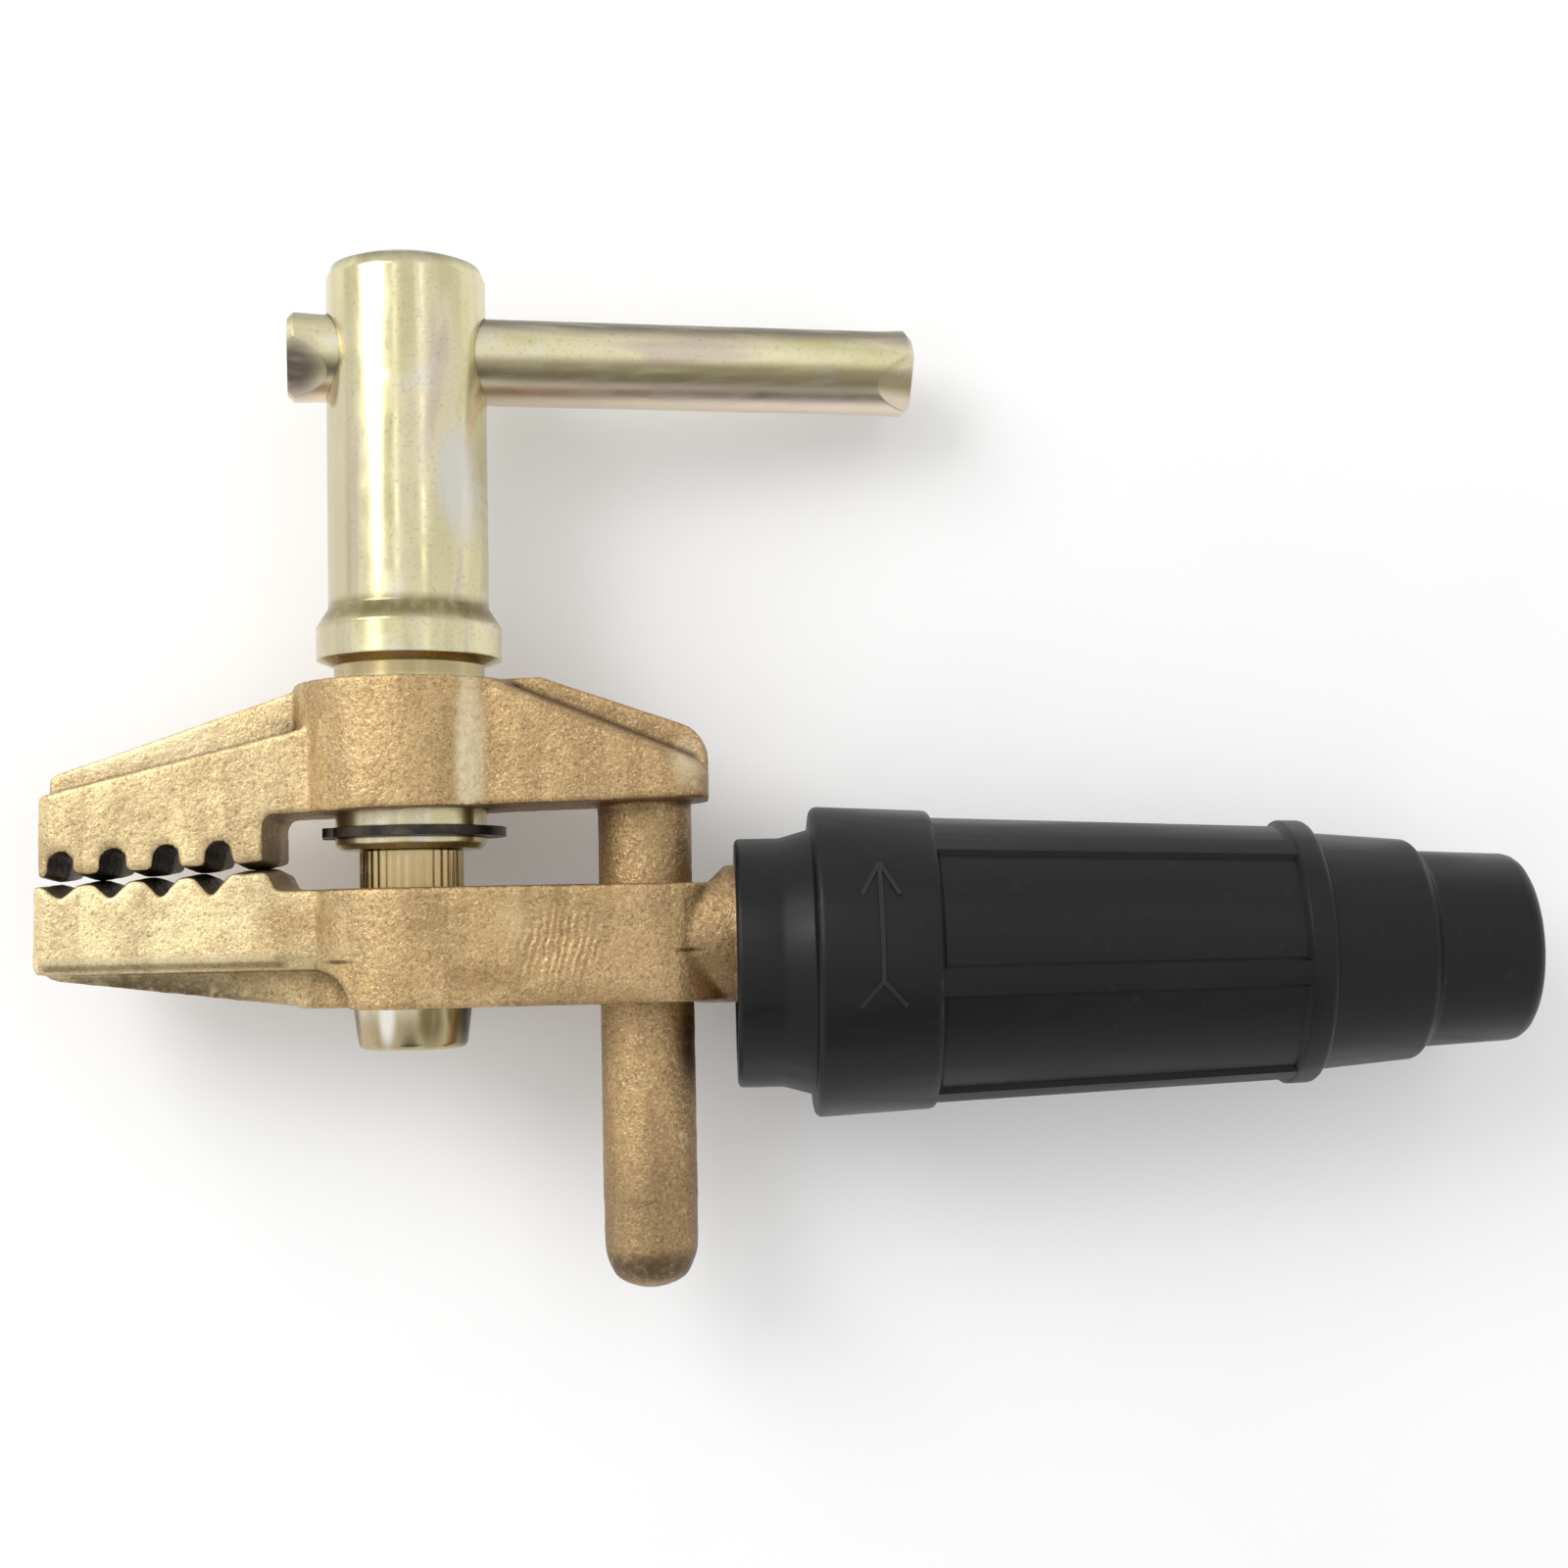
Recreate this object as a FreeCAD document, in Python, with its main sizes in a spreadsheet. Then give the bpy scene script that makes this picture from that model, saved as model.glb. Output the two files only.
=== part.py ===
import FreeCAD, Part
import math
import os

import Sketcher

# Screw clamp that joins a current cable to a work piece. It lies on its side:
# +X runs from the jaws to the cable, +Y from the fixed jaw to the handle, +Z up.
# The origin is the middle of the grip. Most places are measured from the stud's
# axis (along X) and from the fixed jaw's top face (along Y), in millimetres.

SIZES = [
    ("grip_to_stud", "31.0", "middle of the teeth to the stud's axis"),
    ("grip_height", "2.4", "middle of the grip above the fixed jaw's top face"),
    ("slide_play", "0.08", "radial clearance of each sliding or turning fit"),
    ("seat_play", "0.02", "radial clearance of each fixed fit"),
    ("face_gap", "0.3", "gap between faces that only just clear each other"),
    ("jaw_depth", "14.9", "fixed jaw, top face to bottom face"),
    ("arm_width", "18.0", "both toothed arms, across their flanges"),
    ("rib_width", "8.0", "the rib that stiffens each arm"),
    ("tip_corner", "2.5", "rounding of the arms' upright tip corners"),
    ("lower_tip_reach", "46.0", "stud's axis to the fixed jaw's tip"),
    ("upper_tip_reach", "45.3", "stud's axis to the moving jaw's tip"),
    ("tooth_count", "4", "notches in each jaw"),
    ("crest_at_tip", "0.9", "fixed jaw's tooth crests at the tip, above its top face"),
    ("crest_at_heel", "2.3", "the same at the heel"),
    ("crest_rounding", "1.2", "rounding of the fixed jaw's tooth crests"),
    ("heel_reach", "16.8", "stud's axis to the last tooth crest's end"),
    ("heel_foot_reach", "15.6", "stud's axis to the foot of the heel"),
    ("notch_reach", "42.2", "stud's axis to the first notch of both jaws"),
    ("v_pitch", "6.2", "from one V notch to the next, fixed jaw"),
    ("v_floor", "0.7", "V notches' bottoms below the top face"),
    ("v_mouth", "4.4", "V notch across its mouth"),
    ("u_pitch", "6.5", "from one round notch to the next, moving jaw"),
    ("u_depth", "3.0", "round notch above the lands"),
    ("u_mouth", "3.4", "round notch across its mouth"),
    ("u_top", "2.7", "round notch across its top, before the rounding"),
    ("u_rounding", "1.4", "rounding at the round notch's top"),
    ("land_rounding", "0.8", "rounding of the moving jaw's lands"),
    ("land_at_tip", "2.6", "moving jaw's lands at the tip, above the fixed jaw's face"),
    ("land_at_heel", "3.6", "the same at the heel"),
    ("upper_heel_reach", "17.3", "stud's axis to the moving jaw's heel face"),
    ("throat_rounding", "1.5", "rounding between heel face and underside"),
    ("lower_tip_depth", "10.6", "fixed jaw's tip below its top face"),
    ("lower_tip_lean", "0.5", "how far the fixed jaw's tip leans back at its top"),
    ("lower_tip_rounding", "2.5", "rounding under the fixed jaw's tip"),
    ("web_end_reach", "11.0", "stud's axis to where the fixed jaw's web is full depth"),
    ("lower_flange_depth", "10.0", "fixed arm's flange below its top face"),
    ("lower_flange_bevel", "1.6", "bevel under the fixed arm's flange"),
    ("recess_end_reach", "10.8", "stud's axis to the recess beside the fixed arm's web"),
    ("recess_rounding", "4.5", "rounding of that recess at the boss"),
    ("stud_boss_radius", "14.0", "bosses round the stud"),
    ("guide_to_stud", "29.9", "guide pin's axis to the stud's axis"),
    ("guide_boss_radius", "10.4", "fixed jaw's boss round the guide hole"),
    ("tail_radius", "8.8", "round tail of the fixed jaw"),
    ("tail_drop", "6.55", "tail's axis below the top face"),
    ("tail_root_reach", "34.0", "stud's axis to where the tail leaves the boss"),
    ("tail_ramp_reach", "37.9", "stud's axis to the foot of the tail's ramp"),
    ("mouth_reach", "41.3", "stud's axis to the rubber sleeve's mouth"),
    ("tail_entry", "0.8", "how far the tail goes into the sleeve's mouth"),
    ("coupler_drop", "10.35", "coupler's axis below the top face"),
    ("plug_collar_end", "6.0", "sleeve's mouth to the collar's far face"),
    ("plug_radius", "6.5", "plug pin"),
    ("plug_end", "39.0", "sleeve's mouth to the plug pin's end"),
    ("plug_chamfer", "1.2", "chamfer at the plug pin's end"),
    ("lug_start", "15.0", "sleeve's mouth to the locking lug"),
    ("lug_length", "6.0", "locking lug along the pin"),
    ("lug_width", "5.0", "locking lug across"),
    ("lug_radius", "8.8", "locking lug's top, from the pin's axis"),
    ("lug_play", "0.35", "clearance of the lug in its keyway and groove"),
    ("arm_top_at_tip", "12.1", "moving arm's flange top at the tip"),
    ("arm_top_at_boss", "20.0", "the same at the boss"),
    ("arm_boss_reach", "12.8", "stud's axis to where that flange meets the boss"),
    ("rib_top_at_tip", "14.9", "moving arm's rib top at the tip"),
    ("rib_top_at_boss", "25.7", "the same at the boss"),
    ("rib_tip_step", "0.4", "arm's tip to the start of its rib"),
    ("rib_tip_rounding", "1.2", "rounding of that rib's end"),
    ("upper_boss_radius", "14.6", "moving jaw's boss round the neck"),
    ("upper_boss_top", "26.1", "moving jaw's boss top"),
    ("underside_at_heel", "9.4", "moving jaw's underside at the throat"),
    ("underside_at_end", "10.65", "the same at the guide end"),
    ("guide_arm_width", "20.8", "moving jaw's guide arm, across"),
    ("guide_arm_reach", "38.2", "stud's axis to the guide arm's end"),
    ("guide_arm_corner", "6.0", "rounding of the guide arm's upright corners"),
    ("guide_flange_reach", "12.0", "stud's axis to the start of the guide arm's flange"),
    ("guide_flange_bevel", "1.2", "bevel of that flange's upper edges"),
    ("guide_flange_at_boss", "25.8", "guide arm's flange top at the boss"),
    ("guide_flange_at_end", "15.0", "the same at the end"),
    ("guide_rib_at_boss", "26.6", "guide arm's rib top at the boss"),
    ("guide_rib_at_end", "19.2", "the same at the end"),
    ("guide_rib_rounding", "5.0", "rounding of that rib's end"),
    ("guide_rib_reach", "17.0", "stud's axis to where that rib starts to fall"),
    ("guide_radius", "6.0", "guide pin"),
    ("guide_end_depth", "51.2", "guide pin's end below the fixed jaw's top face"),
    ("guide_end_rounding", "4.5", "rounding of the guide pin's end"),
    ("thread_radius", "6.0", "stud's thread, outside"),
    ("bore_room", "3.5", "stud's top to the end of the nut's bore"),
    ("shank_radius", "6.6", "stud's splined shank"),
    ("spline_count", "32", "splines round the shank"),
    ("spline_depth", "0.35", "grooves between the splines"),
    ("stud_head_radius", "7.5", "stud's head, under the jaw"),
    ("stud_head_end_radius", "6.8", "stud's head at its free end"),
    ("stud_head_length", "5.4", "stud's head"),
    ("stud_head_chamfer", "0.8", "chamfer of the head's free end"),
    ("nut_radius", "10.25", "handle nut's barrel"),
    ("nut_bottom", "5.0", "handle nut's bottom face"),
    ("nut_head", "12.3", "bar's axis to the handle nut's top face"),
    ("nut_top_rounding", "2.2", "rounding of the nut's top"),
    ("neck_radius", "9.6", "nut's neck in the moving jaw"),
    ("neck_chamfer", "0.7", "chamfer under the neck"),
    ("flange_radius", "11.8", "nut's pressing flange"),
    ("flange_bottom", "29.3", "pressing flange's bottom face"),
    ("flange_cone", "0.8", "cone under the pressing flange"),
    ("flange_top", "33.5", "top of the flange's straight side"),
    ("shoulder_top", "36.0", "top of the cone above the flange"),
    ("bore_wall", "2.0", "wall between the nut's threaded bore and the bar's hole"),
    ("bore_play", "0.06", "radial clearance of the stud in the nut"),
    ("ring_bottom", "6.5", "ring groove's lower side"),
    ("ring_thickness", "1.2", "retaining ring"),
    ("ring_groove_radius", "8.7", "bottom of the ring groove"),
    ("ring_radius", "11.5", "retaining ring outside"),
    ("ring_shift", "0.6", "how far the ring's outer circle lies off centre"),
    ("ring_gap", "3.4", "opening between the ring's ears"),
    ("ring_ear_radius", "1.9", "rounding of each ear"),
    ("ring_ear_reach", "9.3", "nut's axis to the ears' holes, along the opening"),
    ("ring_ear_side", "3.1", "opening's middle line to the ears' holes"),
    ("ring_ear_hole", "0.7", "ear hole's radius"),
    ("bar_height", "68.6", "tommy bar's axis above the fixed jaw's top face"),
    ("bar_droop", "9.0", "turn of the nut, so that the bar's long end droops"),
    ("bar_radius", "5.6", "tommy bar"),
    ("bar_long_reach", "66.8", "nut's axis to the bar's far end"),
    ("bar_short_reach", "15.1", "nut's axis to the bar's near end"),
    ("bar_end_chamfer", "0.8", "chamfer at the bar's ends"),
    ("stake_length", "4.0", "spread part of each end"),
    ("stake_spread", "0.15", "how far the ends are spread"),
    ("stake_cut_depth", "2.0", "sloping flats pressed into the ends, at the end face"),
    ("stake_cut_length", "5.4", "the flats along the bar"),
    ("stake_count", "2", "flats round each end"),
    ("stake_turn", "30.0", "turn of the flats below the bar's front line"),
    ("sleeve_length", "101.5", "rubber sleeve"),
    ("nose_radius", "15.9", "sleeve's nose"),
    ("nose_chamfer", "0.8", "chamfer of the nose"),
    ("nose_length", "5.8", "straight part of the nose"),
    ("flare_radius", "17.0", "top of the flare behind the nose"),
    ("collar_start", "9.7", "mouth to the collar"),
    ("collar_radius", "19.9", "collar at its front"),
    ("collar_rear_radius", "19.1", "collar at its rear"),
    ("collar_chamfer", "1.1", "chamfer of the collar's edges"),
    ("collar_end", "24.8", "mouth to the collar's rear"),
    ("body_radius", "18.8", "sleeve's body at the collar"),
    ("body_end_radius", "16.8", "sleeve's body at the ring"),
    ("ring_bead_start", "68.5", "mouth to the bead"),
    ("ring_bead_radius", "16.9", "bead round the body's end"),
    ("ring_bead_end", "73.8", "mouth to the bead's rear"),
    ("bead_chamfer", "0.9", "chamfer of the bead"),
    ("step_radius", "15.35", "second step at its front"),
    ("step_end", "86.8", "mouth to the second step's end"),
    ("step_end_radius", "14.2", "second step at its rear"),
    ("entry_start", "88.0", "mouth to the cable entry"),
    ("entry_radius", "12.7", "cable entry at its front"),
    ("entry_end_radius", "12.0", "cable entry at its end"),
    ("entry_rounding", "2.0", "rounding of the cable entry's end"),
    ("cable_jacket_bore", "9.0", "bore for the cable's jacket"),
    ("panel_count", "6", "sunk panels round the body"),
    ("panel_depth", "0.6", "panels below the ribs' tops"),
    ("panel_rib_width", "3.2", "ribs between the panels"),
    ("panel_turn", "8.0", "first rib's turn below the top line"),
    ("socket_flange_radius", "12.9", "socket's flange"),
    ("socket_flange_length", "5.0", "socket's flange along the axis"),
    ("socket_radius", "11.4", "socket's body"),
    ("socket_end", "71.0", "mouth to the socket's rear face"),
    ("twist_range", "90.0", "turn from locked to free"),
    ("cable_bore_radius", "6.6", "socket's bore for the cable"),
    ("cable_bore_depth", "27.0", "depth of that bore"),
    ("ferrule_wall", "0.5", "copper ferrule's wall"),
    ("ferrule_length", "24.0", "copper ferrule"),
    ("ferrule_slit", "1.2", "slit along the ferrule"),
    ("screw_radius", "4.0", "set screws"),
    ("screw_length", "3.6", "set screws"),
    ("screw_first", "8.0", "socket's rear face to the rear screw"),
    ("screw_pitch", "10.0", "rear screw to front screw"),
    ("screw_sink", "0.2", "set screws below the socket's surface"),
    ("hex_across", "4.0", "set screw's hexagon socket, across flats"),
    ("hex_depth", "2.4", "set screw's hexagon socket"),
]

# How far a cutting outline stands clear of what it cuts.
SPARE = 4.0


class Size:
    """A number together with the sheet formula that gives it."""

    def __init__(self, value, formula):
        self.value = value
        self.formula = formula

    def __add__(self, other):
        return joined(self, "+", other)

    def __radd__(self, other):
        return joined(other, "+", self)

    def __sub__(self, other):
        return joined(self, "-", other)

    def __rsub__(self, other):
        return joined(other, "-", self)

    def __mul__(self, other):
        return joined(self, "*", other)

    def __rmul__(self, other):
        return joined(other, "*", self)

    def __truediv__(self, other):
        return joined(self, "/", other)

    def __rtruediv__(self, other):
        return joined(other, "/", self)

    def __neg__(self):
        return Size(-self.value, f"(0 - {self.formula})")


def as_size(value):
    """A plain number as a Size, and a Size as it is."""
    if isinstance(value, Size):
        return value
    return Size(float(value), repr(float(value)))


def joined(left, sign, right):
    """The Size that a sum, difference, product or quotient gives."""
    left = as_size(left)
    right = as_size(right)
    values = {
        "+": lambda: left.value + right.value,
        "-": lambda: left.value - right.value,
        "*": lambda: left.value * right.value,
        "/": lambda: left.value / right.value,
    }
    return Size(values[sign](), f"({left.formula} {sign} {right.formula})")


def root(size):
    """The square root of a Size."""
    return Size(math.sqrt(size.value), f"sqrt({size.formula})")


def sine(angle):
    """The sine of a Size in degrees."""
    return Size(math.sin(math.radians(angle.value)), f"sin({angle.formula})")


def cosine(angle):
    """The cosine of a Size in degrees."""
    return Size(math.cos(math.radians(angle.value)), f"cos({angle.formula})")


def along(start, end, start_at, end_at, place):
    """The height at a place on the straight line between two heights."""
    return start_at + (end_at - start_at) * ((place - start) / (end - start))


document = FreeCAD.newDocument("grounding_clamp")
sheet = document.addObject("Spreadsheet::Sheet", "Sizes")
for row, (alias, number, meaning) in enumerate(SIZES, start=1):
    sheet.set(f"A{row}", alias)
    sheet.set(f"B{row}", number)
    sheet.set(f"C{row}", meaning)
    sheet.setAlias(f"B{row}", alias)
document.recompute()


class Sheet:
    """Gives each named cell of the sheet as a Size."""

    def __getattr__(self, alias):
        return Size(float(sheet.get(alias)), f"Sizes.{alias}")


size = Sheet()

# The nut's bore stops below the bar's hole.
nut_bore_end = size.bar_height - size.bar_radius - size.slide_play - size.bore_wall


def bind(thing, path, value):
    """Tie one property of an object to the sheet."""
    thing.setExpression(path, as_size(value).formula)


def new_body(name, x=0.0, y=0.0, z=0.0):
    """A body whose own origin lies at a place measured from the stud's axis and the top face."""
    body = document.addObject("PartDesign::Body", name)
    body.Label = name
    bind(body, "Placement.Base.x", size.grip_to_stud + x)
    bind(body, "Placement.Base.y", y - size.grip_height)
    bind(body, "Placement.Base.z", as_size(z))
    return body


def origin_feature(body, role):
    """One of the body's own planes or axes."""
    return next(item for item in body.Origin.OriginFeatures if item.Role == role)


def new_sketch(body, name, plane, height=0.0, turn=None, shift=0.0):
    """A sketch on one of the body's planes, lifted along its normal and shifted along its first axis."""
    sketch = body.newObject("Sketcher::SketchObject", f"{body.Name}_{name}")
    sketch.AttachmentSupport = [(origin_feature(body, plane), "")]
    sketch.MapMode = "FlatFace"
    if turn is not None:
        axis, angle = turn
        start = FreeCAD.Rotation(axis, angle.value)
        sketch.AttachmentOffset = FreeCAD.Placement(FreeCAD.Vector(), start)
        bind(sketch, "AttachmentOffset.Rotation.Angle", angle)
    if as_size(height).value != 0.0:
        bind(sketch, "AttachmentOffset.Base.z", height)
    if as_size(shift).value != 0.0:
        bind(sketch, "AttachmentOffset.Base.x", shift)
    return sketch


def constrain(sketch, value, *parts):
    """Add one constraint with a value and tie the value to the sheet."""
    number = sketch.addConstraint(Sketcher.Constraint(*parts, as_size(value).value))
    bind(sketch, f"Constraints[{number}]", value)


def place_point(sketch, edge, end, u, v):
    """Fix a point of the sketch at (u, v)."""
    u = as_size(u)
    v = as_size(v)
    if u.value == 0.0:
        sketch.addConstraint(Sketcher.Constraint("PointOnObject", edge, end, -2))
    else:
        constrain(sketch, u, "DistanceX", -1, 1, edge, end)
    if v.value == 0.0:
        sketch.addConstraint(Sketcher.Constraint("PointOnObject", edge, end, -1))
    else:
        constrain(sketch, v, "DistanceY", -1, 1, edge, end)


def circle(sketch, u, v, radius):
    """A circle with its centre at (u, v)."""
    centre = FreeCAD.Vector(as_size(u).value, as_size(v).value, 0)
    edge = sketch.addGeometry(Part.Circle(centre, FreeCAD.Vector(0, 0, 1), as_size(radius).value))
    place_point(sketch, edge, 3, u, v)
    constrain(sketch, radius, "Radius", edge)


def outline(sketch, corners):
    """A closed outline of straight edges. A corner is (u, v), or (u, v, radius) where it is round."""
    count = len(corners)
    points = [FreeCAD.Vector(as_size(c[0]).value, as_size(c[1]).value, 0) for c in corners]
    arrive = list(points)
    leave = list(points)
    arcs = [None] * count
    for index, corner in enumerate(corners):
        if len(corner) < 3:
            continue
        radius = as_size(corner[2]).value
        back = (points[index - 1] - points[index]).normalize()
        onward = (points[(index + 1) % count] - points[index]).normalize()
        half = back.getAngle(onward) / 2
        reach = radius / math.tan(half)
        arrive[index] = points[index] + back * reach
        leave[index] = points[index] + onward * reach
        centre = points[index] + (back + onward).normalize() * (radius / math.sin(half))
        left_turn = back.cross(onward).z < 0
        first = arrive[index] if left_turn else leave[index]
        last = leave[index] if left_turn else arrive[index]
        angles = [math.atan2(p.y - centre.y, p.x - centre.x) for p in (first, last)]
        ring = Part.Circle(centre, FreeCAD.Vector(0, 0, 1), radius)
        arcs[index] = (Part.ArcOfCircle(ring, *angles), left_turn)
    lines = [
        sketch.addGeometry(Part.LineSegment(leave[index], arrive[(index + 1) % count]))
        for index in range(count)
    ]
    for index, corner in enumerate(corners):
        before = lines[index - 1]
        after = lines[index]
        if arcs[index] is None:
            sketch.addConstraint(Sketcher.Constraint("Coincident", before, 2, after, 1))
            place_point(sketch, after, 1, corner[0], corner[1])
            continue
        arc, left_turn = arcs[index]
        edge = sketch.addGeometry(arc)
        start, end = (1, 2) if left_turn else (2, 1)
        sketch.addConstraint(Sketcher.Constraint("Tangent", before, 2, edge, start))
        sketch.addConstraint(Sketcher.Constraint("Tangent", edge, end, after, 1))
        constrain(sketch, corner[2], "Radius", edge)
        apex = sketch.addGeometry(Part.Point(points[index]), True)
        place_point(sketch, apex, 1, corner[0], corner[1])
        sketch.addConstraint(Sketcher.Constraint("PointOnObject", apex, 1, before))
        sketch.addConstraint(Sketcher.Constraint("PointOnObject", apex, 1, after))


def eased(u, v, back, onward, radius):
    """A right-angled corner rounded in two short straight steps."""
    return [
        (u + radius * (back[0] * near + onward[0] * far), v + radius * (back[1] * near + onward[1] * far))
        for near, far in ((1.0, 0.0), (0.293, 0.293), (0.0, 1.0))
    ]


volumes = {}


def finish(body, feature, grows):
    """Recompute, and stop if the feature did not add or remove material as it should."""
    body.Tip = feature
    document.recompute()
    if feature.Shape.isNull() or not feature.isValid():
        raise RuntimeError(f"{feature.Name} has no shape")
    change = feature.Shape.Volume - volumes.get(body.Name, 0.0)
    if (change > 0) != grows:
        raise RuntimeError(f"{feature.Name} changes the volume by {change}")
    volumes[body.Name] = feature.Shape.Volume
    return feature


def sweep_straight(kind, body, sketch, length, sides, backwards):
    """The common part of a pad and a pocket."""
    ending = "_cut" if kind.endswith("Pocket") else "_pad"
    feature = body.newObject(kind, sketch.Name + ending)
    feature.Profile = sketch
    sketch.Visibility = False
    feature.SideType = sides
    if length is None:
        feature.Type = "ThroughAll"
        if sides == "Symmetric":
            feature.Type = "Length"
            feature.Length = 1000.0
    else:
        bind(feature, "Length", length)
    feature.Reversed = backwards
    return finish(body, feature, kind.endswith("Pad"))


def pad(body, sketch, length, sides="One side", backwards=False):
    """Extrude a sketch."""
    return sweep_straight("PartDesign::Pad", body, sketch, length, sides, backwards)


def pocket(body, sketch, length=None, sides="One side", backwards=False):
    """Cut a sketch away, right through where no length is given."""
    return sweep_straight("PartDesign::Pocket", body, sketch, length, sides, backwards)


def revolve(body, sketch, axis="V_Axis"):
    """Turn a sketch once round one of its own axes."""
    feature = body.newObject("PartDesign::Revolution", sketch.Name + "_turned")
    feature.Profile = sketch
    feature.ReferenceAxis = (sketch, [axis])
    feature.Angle = 360.0
    return finish(body, feature, True)


def groove(body, sketch, axis, angle):
    """Cut a sketch away while it turns round one of its own axes."""
    feature = body.newObject("PartDesign::Groove", sketch.Name + "_groove")
    feature.Profile = sketch
    feature.ReferenceAxis = (sketch, [axis])
    bind(feature, "Angle", angle)
    return finish(body, feature, False)


def repeat_round(body, feature, axis, count, grows=False):
    """Repeat a feature evenly round one of the body's axes."""
    pattern = body.newObject("PartDesign::PolarPattern", feature.Name + "_round")
    pattern.Originals = [feature]
    pattern.Axis = (origin_feature(body, axis), [""])
    pattern.Angle = 360.0
    bind(pattern, "Occurrences", count)
    return finish(body, pattern, grows)


def mirror(body, feature, plane, grows):
    """Repeat a feature on the other side of one of the body's planes."""
    copy = body.newObject("PartDesign::Mirrored", feature.Name + "_mirrored")
    copy.Originals = [feature]
    copy.MirrorPlane = (origin_feature(body, plane), [""])
    return finish(body, copy, grows)


def edges_where(feature, test):
    """The names of the edges whose middle point passes a test."""
    names = []
    for number, edge in enumerate(feature.Shape.Edges, start=1):
        middle = edge.valueAt((edge.FirstParameter + edge.LastParameter) / 2)
        if test(edge, middle):
            names.append(f"Edge{number}")
    return names


def is_near(one, other):
    """Are two lengths the same, to a hundredth?"""
    return abs(one - other) < 0.01


def bevel_edges(body, name, test, width):
    """Bevel the edges that a test picks."""
    picked = edges_where(body.Tip, test)
    feature = body.newObject("PartDesign::Chamfer", f"{body.Name}_{name}")
    feature.Base = (feature.BaseFeature, picked)
    bind(feature, "Size", width)
    return finish(body, feature, False)


def tooth_line(first, pitch, count, depth_of):
    """The corners of a row of notches, from the tip to the heel."""
    corners = []
    for number in range(count):
        corners += depth_of(first + pitch * number)
    return corners


def make_lower_jaw():
    """Fixed jaw: toothed arm with a rib, two bosses, a round tail and the coupler's plug."""
    body = new_body("lower_jaw")
    half = size.arm_width / 2
    rib = size.rib_width / 2
    blank_top = size.crest_at_heel + 1.0

    # The toothed arm, as a tall blank that the next cuts bring to shape.
    plan = new_sketch(body, "arm", "XZ_Plane", height=-blank_top)
    outline(plan, [
        (-size.lower_tip_reach, -half, size.tip_corner),
        (0.0, -half),
        (0.0, half),
        (-size.lower_tip_reach, half, size.tip_corner),
    ])
    pad(body, plan, size.jaw_depth + blank_top)

    # V notches between rounded crests, and the step down behind the last one.
    def crest(place):
        return along(-size.lower_tip_reach, -size.heel_reach, size.crest_at_tip, size.crest_at_heel, place)

    def v_notch(place):
        left = place - size.v_mouth / 2
        right = place + size.v_mouth / 2
        return [
            (left, crest(left), size.crest_rounding),
            (place, -size.v_floor),
            (right, crest(right), size.crest_rounding),
        ]

    teeth = new_sketch(body, "teeth", "XY_Plane")
    high = blank_top + SPARE
    outline(teeth, [
        (-size.lower_tip_reach - SPARE, high),
        (-size.lower_tip_reach - SPARE, crest(-size.lower_tip_reach - SPARE)),
        *tooth_line(-size.notch_reach, size.v_pitch, int(size.tooth_count.value), v_notch),
        (-size.heel_reach, crest(-size.heel_reach), size.crest_rounding / 2),
        (-size.heel_foot_reach, 0.0),
        (SPARE, 0.0),
        (SPARE, high),
    ])
    pocket(body, teeth, sides="Symmetric")

    # The tip leans back a little towards its top.
    lean = new_sketch(body, "lean", "XY_Plane")
    outline(lean, [
        (-size.lower_tip_reach - SPARE, -size.lower_tip_depth),
        (-size.lower_tip_reach, -size.lower_tip_depth),
        (-size.lower_tip_reach + size.lower_tip_lean, high),
        (-size.lower_tip_reach - SPARE, high),
    ])
    pocket(body, lean, sides="Symmetric")

    # The underside rises towards the tip and is rounded there.
    under = new_sketch(body, "under", "XY_Plane")
    low = -size.jaw_depth - SPARE
    outline(under, [
        (-size.lower_tip_reach, -size.lower_tip_depth / 2),
        (-size.lower_tip_reach, -size.lower_tip_depth, size.lower_tip_rounding),
        (-size.web_end_reach, -size.jaw_depth),
        (-size.web_end_reach, low),
        (-size.lower_tip_reach - SPARE, low),
        (-size.lower_tip_reach - SPARE, -size.lower_tip_depth / 2),
    ])
    pocket(body, under, sides="Symmetric")

    # Bosses round the stud and the guide hole, and the bridge between them.
    bosses = new_sketch(body, "stud_boss", "XZ_Plane")
    circle(bosses, 0.0, 0.0, size.stud_boss_radius)
    pad(body, bosses, size.jaw_depth)
    lean = (size.stud_boss_radius - size.guide_boss_radius) / size.guide_to_stud
    upright = root(1.0 - lean * lean)
    bridge = new_sketch(body, "bridge", "XZ_Plane")
    outline(bridge, [
        (size.stud_boss_radius * lean, -size.stud_boss_radius * upright),
        (size.guide_to_stud + size.guide_boss_radius * lean, -size.guide_boss_radius * upright),
        (size.guide_to_stud + size.guide_boss_radius * lean, size.guide_boss_radius * upright),
        (size.stud_boss_radius * lean, size.stud_boss_radius * upright),
    ])
    pad(body, bridge, size.jaw_depth)
    guide_boss = new_sketch(body, "guide_boss", "XZ_Plane")
    circle(guide_boss, size.guide_to_stud, 0.0, size.guide_boss_radius)
    pad(body, guide_boss, size.jaw_depth)

    # The recess on each side of the arm's rib, with a round end at the boss.
    recess = new_sketch(body, "recess", "XY_Plane", height=rib)
    end = -size.recess_end_reach + size.recess_rounding
    outline(recess, [
        (-size.lower_tip_reach - SPARE, -size.lower_flange_depth),
        (end, -size.lower_flange_depth, size.recess_rounding),
        (end, low),
        (-size.lower_tip_reach - SPARE, low),
    ])
    side = pocket(body, recess, backwards=True)
    mirror(body, side, "XY_Plane", False)

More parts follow.
